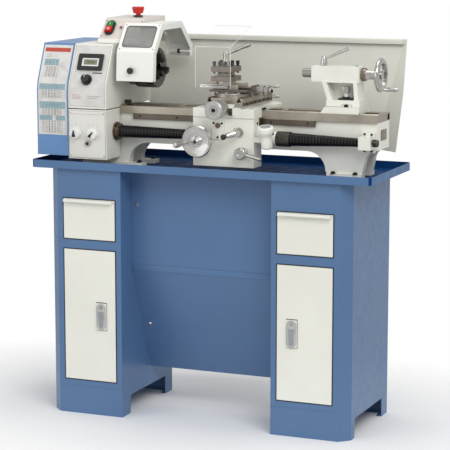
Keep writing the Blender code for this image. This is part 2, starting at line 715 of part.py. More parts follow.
def drive_belt():
    """Flat belt loop round both pulleys, standing clear of their faces."""
    first = Vector(MOTOR_CENTRE)
    second = Vector((AXIS_Y, AXIS_Z))
    low = PULLEY_X[0] + 0.0045
    high = PULLEY_X[1] - 0.0045

    def loop(extra):
        small, large = MOTOR_PULLEY_R + extra, SPINDLE_PULLEY_R + extra
        towards = bearing_angle(first, second)
        spread = math.acos((small - large) / (second - first).length)
        points = []
        for centre, radius, start, end in ((second, large, -spread, spread),
                                           (first, small, spread, 2 * math.pi - spread)):
            for step in range(11):
                angle = towards + start + (end - start) * step / 10
                points.append((centre[0] + radius * math.cos(angle),
                               centre[1] + radius * math.sin(angle)))
        return points

    belt = prism("X", low, high, loop(0.0038))
    return cut(belt, prism("X", low - 0.01, high + 0.01, loop(0.0012)))


def motor():
    """Finned motor body on a foot bolted to the back of the bed, shaft towards -X."""
    low, high = -0.4240, -0.2300
    profile = [(low, 0.0400), (low + 0.012, 0.0400), (low + 0.012, 0.0480), (high - 0.020, 0.0480),
               (high - 0.010, 0.0420), (high, 0.0420)]
    body = turned("X", MOTOR_CENTRE, profile, 32)
    foot = block((-0.400, -0.260), (BED_WALL_Y[1] + GAP, 0.2600), (0.862, 0.948))
    return join(body, foot)


def motor_pulley():
    shaft = rod("X", -0.5020, -0.4243, MOTOR_CENTRE, 0.0080, 16)
    return join(pulley(MOTOR_CENTRE, MOTOR_PULLEY_R, 0.0060), shaft)


def build_drive():
    idler = idler_centre()
    screw = (SCREW_Y, SCREW_Z)
    idler_tooth = bearing_angle(idler, (AXIS_Y, AXIS_Z)) + math.pi / IDLER_TEETH
    # phase of the idler's teeth on the line to the leadscrew decides the last gear's phase
    towards = bearing_angle(idler, screw)
    phase = ((towards - idler_tooth) * IDLER_TEETH / (2 * math.pi)) % 1.0
    screw_tooth = bearing_angle(screw, idler) + (phase + 0.5) * 2 * math.pi / SCREW_TEETH
    finish(spindle_pulley(idler), "spindle_pulley", GROUND, (0.0, AXIS_Y, AXIS_Z))
    finish(gear(idler, IDLER_TEETH, idler_tooth, 0.0095), "idler_gear", GROUND, (0.0, *idler))
    finish(gear(screw, SCREW_TEETH, screw_tooth, 0.0083), "leadscrew_gear", GROUND,
           (0.0, SCREW_Y, SCREW_Z))
    finish(motor(), "motor", BLACK)
    finish(motor_pulley(), "motor_pulley", GROUND, (0.0, *MOTOR_CENTRE))
    finish(drive_belt(), "drive_belt", RUBBER)


# ---------------------------------------------------------------- chuck guard
GUARD_X = (-0.276, -0.151)
GUARD_HINGE = (0.313, 1.136)
WINDOW_X = (-0.2640, -0.1630)


def guard_profile(inset):
    """Hood section in the YZ plane, front edge to back edge."""
    return [(0.0310 + inset, 1.0600), (0.0365 + inset, 1.1495 - 0.4 * inset),
            (0.1000 + 0.6 * inset, 1.2340 - inset), (0.2516 - 0.4 * inset, 1.2350 - inset),
            (0.3335 - inset, 1.1575 - 0.5 * inset), (0.3335 - inset, 1.1205)]


def chuck_guard():
    """Folded hood over the chuck with a window in its slope, hinged on a rod at the back."""
    skin = guard_profile(0.0) + list(reversed(guard_profile(0.002)))
    hood = prism("X", GUARD_X[0], GUARD_X[1], skin)
    clear_of_box = block((-0.30, -0.2265), (0.110, 0.36), (1.10, 1.30))
    hood = cut(hood, clear_of_box)
    band = guard_profile(0.0) + list(reversed(guard_profile(0.020)))
    side = prism("X", GUARD_X[1] - 0.002, GUARD_X[1], band)
    rod_piece = rod("X", -0.2260, GUARD_X[1] - 0.001, GUARD_HINGE, 0.0035, 12)
    side_left = prism("X", -0.2265, -0.2245, [(0.2900, 1.1260), (0.3330, 1.1260), (0.3330, 1.1560),
                                              (0.2900, 1.1900)])
    hood = join(hood, side, side_left, rod_piece)
    low = guard_slope_point(0.17)
    high = guard_slope_point(0.90)
    hole = prism("X", WINDOW_X[0], WINDOW_X[1],
                 [(low[0] - 0.01, low[1] + 0.0075), (low[0] + 0.02, low[1] - 0.0150),
                  (high[0] + 0.02, high[1] - 0.0150), (high[0] - 0.01, high[1] + 0.0075)])
    return cut(hood, hole)


def guard_slope_point(share):
    """Point a share of the way up the outside of the sloping part."""
    (y0, z0), (y1, z1) = guard_profile(0.0)[1:3]
    return (y0 + (y1 - y0) * share, z0 + (z1 - z0) * share)


def guard_window():
    """Clear pane standing just inside the hood's slope."""
    angle = math.atan2(0.0845, 0.0635)
    normal = (math.sin(angle), -math.cos(angle))
    low = guard_slope_point(0.09)
    high = guard_slope_point(0.94)

    def inside(point, depth):
        return (point[0] + normal[0] * depth, point[1] + normal[1] * depth)

    pane = [inside(low, 0.0026), inside(high, 0.0026), inside(high, 0.0046), inside(low, 0.0046)]
    return prism("X", WINDOW_X[0] - 0.008, WINDOW_X[1] + 0.008, pane)


def build_guard():
    pivot = (GUARD_X[1], *GUARD_HINGE)
    finish(chuck_guard(), "chuck_guard", WHITE, pivot)
    finish(guard_window(), "guard_window", CLEAR, pivot)


# ---------------------------------------------------------------- carriage
CROSS_SCREW_Z = 0.9900
WHEEL_CENTRE = (0.010, 0.889)


def saddle():
    """Saddle astride the ways: H-shaped casting with a dovetail across its top."""
    x0, x1 = CARRIAGE_X
    y0, y1 = SADDLE_Y
    plate = block((x0, x1), (y0, y1), (WAY_TOP + GAP, SADDLE_TOP))
    apron_flange = block((x0, x1), (y0, BED_Y[0] - GAP), (0.9600, SADDLE_TOP - 0.001))
    rear_keep = block((x0 + 0.02, x1 - 0.02), (BED_Y[1] + GAP, y1), (0.9480, SADDLE_TOP - 0.001))
    bridge = block((0.0285, 0.1365), (y0 - 0.001, y1), (0.9600, 0.9925))
    dovetail = prism("Y", y0, y1, [(0.0525, 0.9900), (0.1125, 0.9900), (0.1205, 1.0020),
                                   (0.0445, 1.0020)])
    bearing = block((CROSS_CENTRE_X - 0.030, CROSS_CENTRE_X + 0.036), (0.0150, y0 + 0.002),
                    (0.9690, 0.9922))
    body = join(plate, apron_flange, rear_keep, bridge, dovetail, bearing)
    bed_space = block((x0 - 0.01, x1 + 0.01), (BED_Y[0] - GAP, BED_Y[1] + GAP),
                      (0.90, WAY_TOP + GAP))
    vee = prism("X", x0 - 0.01, x1 + 0.01, [(0.1030, WAY_TOP - 0.001), (0.1190, WAY_TOP - 0.001),
                                            (0.1130, WAY_TOP + 0.0045), (0.1090, WAY_TOP + 0.0045)])
    notch_left = block((x0 - 0.01, x0 + 0.032), (0.255, 0.40), (0.90, 1.10))
    notch_right = block((x1 - 0.014, x1 + 0.01), (0.270, 0.40), (0.90, 1.10))
    channel = block((CROSS_CENTRE_X - 0.013, CROSS_CENTRE_X + 0.013), (y0 + 0.014, y1 + 0.01),
                    (0.9830, 1.01))
    screw_hole = rod("Y", y0 - 0.02, y0 + 0.03, (CROSS_CENTRE_X, CROSS_SCREW_Z), 0.0124, 16)
    return cut(body, bed_space, vee, notch_left, notch_right, channel, screw_hole)


def apron():
    """Hollow apron under the saddle's front, open at the back, bored for the leadscrew."""
    body = block(CARRIAGE_X, APRON_Y, (APRON_BOTTOM, 0.9597))
    hollow = block(widened(CARRIAGE_X, -0.012), (APRON_Y[0] + 0.012, 0.12),
                   (APRON_BOTTOM + 0.012, 0.9480))
    plate = prism("Y", 0.0265, APRON_Y[0] + 0.001,
                  [(0.0455, 0.8945), (0.0855, 0.8945), (0.0855, 0.9525), (0.0455, 0.9525)])
    collar = rod("X", CARRIAGE_X[1] - 0.002, 0.2860, (SCREW_Y, SCREW_Z), 0.0215, 24)
    screw_bore = rod("X", CARRIAGE_X[0] - 0.02, 0.30, (SCREW_Y, SCREW_Z), 0.0112, 16)
    shaft_holes = [rod("Y", 0.0, 0.05, place, 0.0066, 16) for place in
                   (WHEEL_CENTRE, HALF_NUT_PLACE, FEED_PLACE)]
    body = join(cut(body, hollow), plate, collar)
    return cut(body, screw_bore, *shaft_holes)


HALF_NUT_PLACE = (0.1330, 0.9180)
FEED_PLACE = (0.1450, 0.8560)


def apron_handwheel():
    """Dished handwheel with a turned grip near its rim."""
    profile = [(-0.0160, 0.0120), (-0.0060, 0.0180), (-0.0075, 0.0390), (-0.0100, 0.0462),
               (-0.0060, 0.0490), (0.0010, 0.0485), (0.0070, 0.0390), (0.0120, 0.0160),
               (0.0290, 0.0150)]
    wheel = turned("Y", WHEEL_CENTRE, profile, 36)
    shaft = rod("Y", 0.020, 0.050, WHEEL_CENTRE, 0.0062, 16)
    grip_at = (WHEEL_CENTRE[0] - 0.0390, WHEEL_CENTRE[1] - 0.0060)
    grip = turned("Y", grip_at, [(-0.0830, 0.0050), (-0.0790, 0.0072), (-0.0600, 0.0078),
                                 (-0.0280, 0.0058), (-0.0200, 0.0050), (-0.0020, 0.0050)], 14)
    return join(wheel, shaft, grip)


def cross_slide():
    """Cross slide with a dovetail groove below and two T-slots along its length."""
    x0, x1 = CROSS_CENTRE_X - 0.0600, CROSS_CENTRE_X + 0.0600
    body = block((x0, x1), (0.0360, 0.2850), (0.9930, CROSS_TOP))
    groove = prism("Y", 0.0, 0.40, [(0.0520, 0.9890), (0.1130, 0.9890), (0.1130, 0.9902),
                                    (0.1212, 1.0024), (0.0438, 1.0024), (0.0520, 0.9902)])
    slots = []
    for x in (x0 + 0.012, x1 - 0.012):
        slots.append(block((x - 0.0035, x + 0.0035), (0.0, 0.40), (1.0130, 1.03)))
        slots.append(block((x - 0.0065, x + 0.0065), (0.0, 0.40), (1.0075, 1.0135)))
    return cut(body, groove, *slots)


def cross_slide_handwheel():
    """Knurled dial wheel on the cross screw, with its bearing collar."""
    centre = (CROSS_CENTRE_X, CROSS_SCREW_Z)
    profile = [(-0.0480, 0.0265), (-0.0465, 0.0280), (-0.0120, 0.0280), (-0.0120, 0.0255),
               (0.0110, 0.0255), (0.0110, 0.0120), (0.0140, 0.0120)]
    wheel = turned("Y", centre, profile, 36)
    screw = rod("Y", 0.012, 0.200, centre, 0.0055, 12)
    return join(wheel, screw)


def compound_base():
    """Swivel disc, clamp neck and the dovetail slide bed of the compound."""
    disc = turned("Z", SWIVEL, [(CROSS_TOP + GAP, 0.0560), (1.0300, 0.0560), (1.0310, 0.0550)], 40)
    neck = rod("Z", 1.0300, 1.0365, SWIVEL, 0.0480, 32)
    slab = block((0.0225, 0.1415), (0.0620, 0.1600), (1.0355, 1.0405))
    dovetail = prism("X", 0.0225, 0.1415, [(0.1100, 1.0395), (0.1500, 1.0395), (0.1560, 1.0460),
                                           (0.1040, 1.0460)])
    end_plate = block((0.1415, 0.1480), (0.1080, 0.1620), (1.0200, 1.0530))
    body = join(disc, neck, slab, dovetail, end_plate)
    return cut(body, rod("X", 0.13, 0.16, TOP_SCREW, 0.0067, 16))


TOP_SCREW = (0.1350, 1.0360)


def top_slide():
    """Top slide on the compound's dovetail, with the tool post boss and stud."""
    body = block(TOP_SLIDE_X, TOP_SLIDE_Y, (1.0409, TOP_SLIDE_TOP))
    groove = prism("X", -0.10, 0.30, [(0.1095, 1.0390), (0.1505, 1.0390), (0.1505, 1.0396),
                                      (0.1566, 1.0464), (0.1034, 1.0464), (0.1095, 1.0396)])
    boss = rod("Z", TOP_SLIDE_TOP - 0.002, POST_BASE - GAP, POST_CENTRE, 0.0300, 32)
    stud = rod("Z", TOP_SLIDE_TOP, 1.1350, POST_CENTRE, 0.0060, 16)
    return join(cut(body, groove), boss, stud)


def top_slide_handwheel():
    """Dial, wheel and two spinning grips on the top slide's screw."""
    profile = [(0.1485, 0.0065), (0.1485, 0.0140), (0.1640, 0.0140), (0.1640, 0.0170), (0.1750, 0.0170),
               (0.1750, 0.0120), (0.1800, 0.0120), (0.1820, 0.0190), (0.1900, 0.0190),
               (0.1920, 0.0100), (0.1980, 0.0090)]
    wheel = turned("X", TOP_SCREW, profile, 24)
    stem = rod("X", 0.1360, 0.1500, TOP_SCREW, 0.0060, 12)
    grips = []
    for side in (-1, 1):
        at = (TOP_SCREW[0], TOP_SCREW[1] + side * 0.0150)
        grips.append(turned("X", at, [(0.1880, 0.0022), (0.1990, 0.0022), (0.2020, 0.0040),
                                      (0.2230, 0.0034)], 10))
    return join(wheel, stem, *grips)


def tool_post():
    """Four-way tool post: two square plates on a narrower core, with eight tool screws."""
    x, y = POST_CENTRE
    half = POST_SIZE / 2
    core = half - 0.0150

    def square(size, low, high):
        return block((x - size, x + size), (y - size, y + size), (low, high))

    body = join(square(half, POST_BASE, 1.0780), square(core, 1.0770, 1.0930),
                square(half, 1.0920, 1.1080))
    for dx in (-0.0275, -0.0095, 0.0095, 0.0275):
        for dy in (-0.0275, 0.0275):
            head = block((x + dx - 0.0035, x + dx + 0.0035), (y + dy - 0.0035, y + dy + 0.0035),
                         (1.1070, 1.1220))
            body = join(body, head)
    return cut(body, rod("Z", 1.05, 1.12, POST_CENTRE, 0.0064, 16))


def tool_post_lever():
    """Clamp hub on the post's stud with a slanting round lever."""
    x, y = POST_CENTRE
    hub = turned("Z", POST_CENTRE, [(1.1084, 0.0110), (1.1200, 0.0110), (1.1420, 0.0085),
                                    (1.1510, 0.0070)], 20)
    hub = cut(hub, rod("Z", 1.10, 1.1360, POST_CENTRE, 0.0063, 16))
    lever = bar((x + 0.004, y, 1.1450), (x + 0.0780, y, 1.1765), 0.0028, 0.0052, 12)
    return join(hub, lever)


def half_nut_lever():
    """Short lever with a black ball, on a turned hub on the apron."""
    x, z = HALF_NUT_PLACE
    hub = turned("Y", HALF_NUT_PLACE, [(-0.0080, 0.0095), (0.0050, 0.0110), (0.0256, 0.0110)], 20)
    shaft = rod("Y", 0.020, 0.045, HALF_NUT_PLACE, 0.0062, 12)
    lever = bar((x, -0.0020, z), (x - 0.0240, -0.0200, z - 0.0080), 0.0035, 0.0030, 10)
    knob = ball((x - 0.0280, -0.0240, z - 0.0095), 0.0085)
    return join(hub, shaft, lever, knob)


def feed_lever():
    """Feed selector: round hub with a slanting arm past the apron's right edge."""
    x, z = FEED_PLACE
    hub = turned("Y", FEED_PLACE, [(0.0040, 0.0160), (0.0060, 0.0180), (0.0290, 0.0180)], 24)
    shaft = rod("Y", 0.020, 0.045, FEED_PLACE, 0.0062, 12)
    arm = bar((x + 0.010, 0.0140, z - 0.0010), (x + 0.0640, 0.0060, z - 0.0120), 0.0040, 0.0050, 12)
    tip = ball((x + 0.0660, 0.0058, z - 0.0124), 0.0065)
    return join(hub, shaft, arm, tip)


def thread_dial():
    """Thread dial indicator: white body on the apron's side with a tilted cap."""
    body = turned("Z", (0.2255, 0.0230), [(0.8740, 0.0140), (0.8790, 0.0170), (0.9050, 0.0150),
                                          (0.9180, 0.0170), (0.9260, 0.0235), (0.9380, 0.0235),
                                          (0.9420, 0.0180)], 24)
    body = rotate(body, 12, "X", (0.2255, 0.0230, 0.9000))
    arm = block((CARRIAGE_X[1] + GAP, 0.2200), (0.0305, 0.0400), (0.8900, 0.9050))
    return join(body, arm)


def chip_shield():
    """Bent clear sheet: upright in front of the tool post, then sloping back over it."""
    front = 0.0800
    thick = 0.0025
    fold = (front, 1.1690)
    far = (0.2500, 1.2260)
    outline = [(front, 1.0425), fold, far, (far[0] + 0.0008, far[1] - thick),
               (front + thick, fold[1] - thick * 0.9), (front + thick, 1.0425)]
    sheet = prism("X", -0.0320, 0.0850, outline)
    ears = block((TOP_SLIDE_X[0] + 0.006, 0.0790), (front + 0.001, TOP_SLIDE_Y[0] - GAP),
                 (1.0430, 1.0520))
    return join(sheet, ears)


def build_carriage():
    wheel_pivot = (WHEEL_CENTRE[0], 0.0, WHEEL_CENTRE[1])
    cross_pivot = (CROSS_CENTRE_X, 0.0, CROSS_SCREW_Z)
    finish(saddle(), "saddle", WHITE)
    finish(apron(), "apron", WHITE)
    finish(apron_handwheel(), "apron_handwheel", POLISHED, wheel_pivot)
    finish(cross_slide(), "cross_slide", GROUND)
    finish(cross_slide_handwheel(), "cross_slide_handwheel", POLISHED, cross_pivot)
    finish(compound_base(), "compound_base", GROUND, (*SWIVEL, CROSS_TOP))
    finish(top_slide(), "top_slide", GROUND)
    finish(top_slide_handwheel(), "top_slide_handwheel", POLISHED, (0.15, *TOP_SCREW))
    finish(tool_post(), "tool_post", GROUND, (*POST_CENTRE, POST_BASE))
    finish(tool_post_lever(), "tool_post_lever", POLISHED, (*POST_CENTRE, 1.1084))
    finish(half_nut_lever(), "half_nut_lever", POLISHED, (HALF_NUT_PLACE[0], 0.0, HALF_NUT_PLACE[1]))
    finish(feed_lever(), "feed_lever", POLISHED, (FEED_PLACE[0], 0.0, FEED_PLACE[1]))
    finish(thread_dial(), "thread_dial", WHITE)
    finish(chip_shield(), "chip_shield", CLEAR)


# ---------------------------------------------------------------- tailstock
def tailstock_base():
    """Base on the ways, flared towards the headstock."""
    x0, x1 = TAIL_BASE_X
    outline = [(x0, WAY_TOP + GAP), (x1, WAY_TOP + GAP), (x1, 0.9985), (x0 + 0.0140, 0.9985)]
    body = prism("Y", TAIL_BASE_Y[0] - 0.012, TAIL_BASE_Y[1], outline)
    vee = prism("X", x0 - 0.01, x1 + 0.01, [(0.1030, WAY_TOP - 0.001), (0.1190, WAY_TOP - 0.001),
                                            (0.1130, WAY_TOP + 0.0045), (0.1090, WAY_TOP + 0.0045)])
    return cut(body, vee)


def tailstock_body():
    """Upper casting: barrel block, sloping neck with a clamp recess, and foot."""
    y0, y1 = TAIL_BASE_Y
    barrel = block(TAIL_BLOCK_X, (0.1330, 0.1870), (1.0700, 1.1170))
    neck = prism("Y", 0.1290, 0.1910, [(0.3800, 1.0150), (0.4780, 1.0150), (0.4720, 1.0720),
                                       (0.3600, 1.0720)])
    foot = block((0.3800, 0.4860), (y0, y1), (0.9988, 1.0185))
    clamp = rod("Z", 1.0180, 1.0400, (0.4330, 0.1480), 0.0060, 12)
    clamp_head = block((0.4245, 0.4415), (0.1395, 0.1565), (1.0390, 1.0570))
    recess = prism("Y", 0.10, 0.1700, [(0.3950, 1.0187), (0.4640, 1.0187), (0.4600, 1.0690),
                                       (0.3760, 1.0690)])
    body = join(cut(join(barrel, neck, foot), recess), clamp, clamp_head)
    bore = rod("X", 0.30, 0.4660, (AXIS_Y, AXIS_Z), 0.0146, 24)
    screw_bore = rod("X", 0.40, 0.50, (AXIS_Y, AXIS_Z), 0.0066, 16)
    lock_hole = rod("Z", 1.1100, 1.13, (0.3570, AXIS_Y), 0.0062, 12)
    return cut(body, bore, screw_bore, lock_hole)


def quill():
    """Quill with a taper socket in its nose and a nut bore behind."""
    centre = (AXIS_Y, AXIS_Z)
    body = turned("X", centre, [(0.2900, 0.0120), (0.2920, 0.0140), (0.4300, 0.0140)], 24)
    socket = turned("X", centre, [(0.28, 0.0092), (0.3500, 0.0072)], 16)
    nut = rod("X", 0.3800, 0.44, centre, 0.0062, 16)
    return cut(body, socket, nut)


def quill_handwheel():
    """Rimmed handwheel on the quill screw, with its bearing collar and crank grip."""
    centre = (AXIS_Y, AXIS_Z)
    collar = turned("X", centre, [(0.4763, 0.0185), (0.4900, 0.0185), (0.4920, 0.0150),
                                  (0.5250, 0.0130), (0.5420, 0.0120)], 24)
    rim = turned("X", centre, [(0.5300, 0.0450), (0.5320, 0.0490), (0.5390, 0.0500),
                               (0.5430, 0.0470), (0.5440, 0.0430)], 36)
    rim = cut(rim, turned("X", centre, [(0.52, 0.0360), (0.55, 0.0360)], 36))
    spokes = []
    for index in range(3):
        spoke = block((0.5330, 0.5400), (AXIS_Y - 0.0055, AXIS_Y + 0.0055),
                      (AXIS_Z + 0.008, AXIS_Z + 0.0400))
        spokes.append(rotate(spoke, 120 * index + 180, "X", (0, AXIS_Y, AXIS_Z)))
    screw = rod("X", 0.4000, 0.4780, centre, 0.0055, 12)
    grip_at = (AXIS_Y, AXIS_Z - 0.0425)
    grip = turned("X", grip_at, [(0.5400, 0.0040), (0.5480, 0.0040), (0.5500, 0.0056),
                                 (0.5850, 0.0064), (0.5910, 0.0050)], 12)
    return join(collar, rim, *spokes, screw, grip)


def quill_lock_lever():
    """Quill lock: tapered hub with a slanting lever."""
    x = 0.3570
    hub = turned("Z", (x, AXIS_Y), [(1.1125, 0.0055), (1.1175, 0.0055), (1.1175, 0.0095),
                                    (1.1260, 0.0095), (1.1400, 0.0070), (1.1450, 0.0050)], 20)
    lever = bar((x + 0.003, AXIS_Y, 1.1370), (x + 0.0750, AXIS_Y, 1.1690), 0.0026, 0.0050, 12)
    return join(hub, lever)


def build_tailstock():
    finish(tailstock_base(), "tailstock_base", WHITE)
    finish(tailstock_body(), "tailstock_body", WHITE)
    finish(quill(), "quill", POLISHED)
    finish(quill_handwheel(), "quill_handwheel", POLISHED, (0.53, AXIS_Y, AXIS_Z))
    finish(quill_lock_lever(), "quill_lock_lever", POLISHED, (0.3570, AXIS_Y, 1.1172))


# ---------------------------------------------------------------- backsplash
def backsplash():
    """Rear splash panel with a rolled top hem and a right wing folded towards the operator."""
    low, high = 0.8430, 1.1870
    left = -0.3300
    back = 0.3900
    thick = 0.0016
    top_right = (0.5400, high)
    fold_foot = (0.4440, low)
    panel = prism("Y", back, back + thick, [(left, low), fold_foot, top_right, (left, high)])
    wing = prism("Y", back, back + thick, [fold_foot, (0.5330, low - 0.006), (0.5469, 1.0200),
                                           (0.5469, high), (top_right[0] - 0.0005, high),
                                           (fold_foot[0] - 0.0005, low)])
    fold = Vector((top_right[0] - fold_foot[0], 0.0, top_right[1] - fold_foot[1]))
    pivot = Vector((fold_foot[0], back + thick / 2, fold_foot[1]))
    turn = Matrix.Rotation(math.radians(-25), 4, fold.normalized())
    move = Matrix.Translation(pivot)
    wing.data.transform(move @ turn @ move.inverted())
    hem = block((left, 0.5380), (back - 0.0120, back + thick), (high - 0.0160, high))
    strips = []
    for x in (-0.1500, 0.3300):
        strips.append(block((x, x + 0.030), (back - 0.0030, back + 0.0005), (0.7900, 0.9000)))
        strips.append(block((x, x + 0.030), (TRAY_Y[1] + GAP, back), (0.7900, 0.8060)))
    return join(panel, wing, hem, *strips)


def main():
    clear_scene()
    build_stand()
    build_bed()
    build_gearbox()
    build_headstock()
    build_controls()
    build_spindle()
    build_drive()
    build_guard()
    build_carriage()
    build_tailstock()
    finish(backsplash(), "backsplash", CREAM)


main()
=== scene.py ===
"""Looks of the bench metal lathe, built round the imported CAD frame."""
import math

import bmesh
import bpy
from mathutils import Matrix, Vector


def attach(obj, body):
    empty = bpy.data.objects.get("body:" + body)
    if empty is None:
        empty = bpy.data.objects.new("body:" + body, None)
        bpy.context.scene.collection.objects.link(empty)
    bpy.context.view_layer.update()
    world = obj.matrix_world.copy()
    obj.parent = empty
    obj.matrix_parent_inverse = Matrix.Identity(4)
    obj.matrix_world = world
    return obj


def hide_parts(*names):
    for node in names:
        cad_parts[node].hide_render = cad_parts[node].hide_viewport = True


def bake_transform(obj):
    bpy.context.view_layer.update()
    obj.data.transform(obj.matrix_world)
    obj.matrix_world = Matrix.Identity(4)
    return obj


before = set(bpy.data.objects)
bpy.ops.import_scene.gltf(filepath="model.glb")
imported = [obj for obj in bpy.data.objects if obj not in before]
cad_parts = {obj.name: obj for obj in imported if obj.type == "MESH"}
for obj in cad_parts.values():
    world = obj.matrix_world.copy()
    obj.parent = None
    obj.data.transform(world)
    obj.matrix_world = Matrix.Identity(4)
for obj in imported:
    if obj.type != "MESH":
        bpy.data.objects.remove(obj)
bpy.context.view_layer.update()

# Shop coordinates: x = 0 between the cabinets, y = 0 on their fronts, z = 0 on the floor.
SHIFT = Vector((0.0195, 0.15435, 0.0))
AXIS_Y, AXIS_Z = 0.16, 1.094
SCREW_Y, SCREW_Z = 0.07, 0.9
SLOPE = math.atan2(0.0515, 0.12)            # lean of the headstock's upper front
SLOPE_AT = (0.0289, 1.11)
AXIS = (AXIS_Y, AXIS_Z)
LEADSCREW = (SCREW_Y, SCREW_Z)
LEANED = (-SLOPE, "X", (0.0, *SLOPE_AT))    # turns upright pieces onto that upper front
BOX_SLOPE = math.atan2(0.0525, 0.057)       # lean of the control box face
APRON_WHEEL = (0.01, 0.889)                 # x, z of the apron handwheel's axis
CROSS_WHEEL = (0.0825, 0.99)                # x, z of the cross slide handwheel's axis
SWIVEL = (0.0825, 0.105)                    # x, y of the compound's swivel
TOP_SCREW = (0.135, 1.036)                  # y, z of the top slide's screw
TOOL_POST = (0.048, 0.135)                  # x, y of the tool post
MOTOR = (0.285, 0.905)                      # y, z of the motor's shaft
CABINET_BACK = 0.382                        # back faces of the two cabinets
SPLASH_BACK = 0.3916                        # back face of the splash panel
HEAD_BACK = 0.33                            # back faces of the headstock and end cover


# ------------------------------------------------------------------ materials
class Shader:
    """Small helper around one node tree."""

    def __init__(self, name):
        self.material = bpy.data.materials.new(name)
        self.material.use_nodes = True
        self.tree = self.material.node_tree
        self.principled = self.tree.nodes["Principled BSDF"]
        self.coords = self.tree.nodes.new("ShaderNodeTexCoord").outputs["Object"]

    def node(self, kind, **values):
        made = self.tree.nodes.new(kind)
        for key, value in values.items():
            setattr(made, key, value)
        return made

    def link(self, source, target):
        self.tree.links.new(source, target)

    def mapped(self, scale=(1, 1, 1), location=(0, 0, 0)):
        made = self.node("ShaderNodeMapping")
        made.inputs["Scale"].default_value = scale
        made.inputs["Location"].default_value = location
        self.link(self.coords, made.inputs["Vector"])
        return made.outputs["Vector"]

    def noise(self, scale, detail=3.0, stretch=(1, 1, 1)):
        made = self.node("ShaderNodeTexNoise")
        made.inputs["Scale"].default_value = scale
        made.inputs["Detail"].default_value = detail
        self.link(self.mapped(stretch), made.inputs["Vector"])
        return made.outputs["Fac"]

    def ramp(self, source, low, high, start=0.35, end=0.65):
        made = self.node("ShaderNodeMapRange")
        made.inputs["From Min"].default_value = start
        made.inputs["From Max"].default_value = end
        made.inputs["To Min"].default_value = low
        made.inputs["To Max"].default_value = high
        self.link(source, made.inputs["Value"])
        return made.outputs["Result"]

    def mix(self, factor, first, second):
        made = self.node("ShaderNodeMix", data_type="RGBA")
        if isinstance(factor, float):
            made.inputs[0].default_value = factor
        else:
            self.link(factor, made.inputs[0])
        for socket, value in ((made.inputs[6], first), (made.inputs[7], second)):
            if isinstance(value, tuple):
                socket.default_value = (*value, 1.0)
            else:
                self.link(value, socket)
        return made.outputs[2]

    def math(self, operation, first, second=0.0):
        made = self.node("ShaderNodeMath", operation=operation)
        for socket, value in ((made.inputs[0], first), (made.inputs[1], second)):
            if isinstance(value, (int, float)):
                socket.default_value = value
            else:
                self.link(value, socket)
        return made.outputs[0]

    def bump(self, height, strength, distance, edge=0.0):
        made = self.node("ShaderNodeBump")
        made.inputs["Strength"].default_value = strength
        made.inputs["Distance"].default_value = distance
        self.link(height, made.inputs["Height"])
        if edge:
            bevel = self.node("ShaderNodeBevel", samples=4)
            bevel.inputs["Radius"].default_value = edge
            self.link(bevel.outputs["Normal"], made.inputs["Normal"])
        self.link(made.outputs["Normal"], self.principled.inputs["Normal"])

    def colour(self, value):
        socket = self.principled.inputs["Base Color"]
        if isinstance(value, tuple):
            socket.default_value = (*value, 1.0)
        else:
            self.link(value, socket)

    def set(self, **values):
        for key, value in values.items():
            self.principled.inputs[key.replace("_", " ")].default_value = value


def shade(colour, factor):
    return tuple(min(1.0, channel * factor) for channel in colour)


def srgb(r, g, b):
    """Colour written as 0-255 display values."""
    def channel(value):
        value /= 255.0
        return value / 12.92 if value <= 0.04045 else ((value + 0.055) / 1.055) ** 2.4
    return (channel(r), channel(g), channel(b))


def paint(name, colour, rough=(0.34, 0.46), peel=0.1, grain=900.0, edge=0.0012, coat=0.25):
    """Sprayed enamel: faint orange peel, slow drift of colour, softened edges."""
    s = Shader(name)
    drift = s.ramp(s.noise(5.0, 4.0), 0.0, 1.0)
    s.colour(s.mix(drift, shade(colour, 0.965), shade(colour, 1.02)))
    s.link(s.ramp(s.noise(40.0, 5.0), rough[0], rough[1]), s.principled.inputs["Roughness"])
    s.bump(s.noise(grain, 2.0), peel, 0.0004, edge)
    s.set(Coat_Weight=coat, Coat_Roughness=0.25)
    return s.material


def cast_paint(name, colour, edge=0.0022):
    """Enamel over filled iron castings: broader ripple under the paint."""
    s = Shader(name)
    drift = s.ramp(s.noise(9.0, 5.0), 0.0, 1.0)
    grime = s.ramp(s.noise(55.0, 8.0), 0.0, 0.1, 0.52, 0.78)
    base = s.mix(drift, shade(colour, 0.95), shade(colour, 1.02))
    s.colour(s.mix(grime, base, shade(colour, 0.62)))
    s.link(s.ramp(s.noise(30.0, 5.0), 0.3, 0.45), s.principled.inputs["Roughness"])
    ripple = s.math("ADD", s.noise(70.0, 3.0), s.math("MULTIPLY", s.noise(420.0, 3.0), 0.35))
    s.bump(ripple, 0.16, 0.001, edge)
    s.set(Coat_Weight=0.3, Coat_Roughness=0.22)
    return s.material


def ground(name, colour, along="X", rough=(0.28, 0.44), edge=0.0006):
    """Ground steel with fine marks running along one axis."""
    s = Shader(name)
    stretch = {"X": (0.02, 1, 1), "Y": (1, 0.02, 1), "Z": (1, 1, 0.02)}[along]
    marks = s.noise(900.0, 2.0, stretch)
    stain = s.ramp(s.noise(14.0, 6.0), 0.0, 1.0, 0.38, 0.7)
    s.colour(s.mix(stain, colour, shade(colour, 0.74)))
    s.link(s.ramp(marks, rough[0], rough[1], 0.3, 0.7), s.principled.inputs["Roughness"])
    s.bump(marks, 0.22, 0.0002, edge)
    s.set(Metallic=1.0)
    return s.material


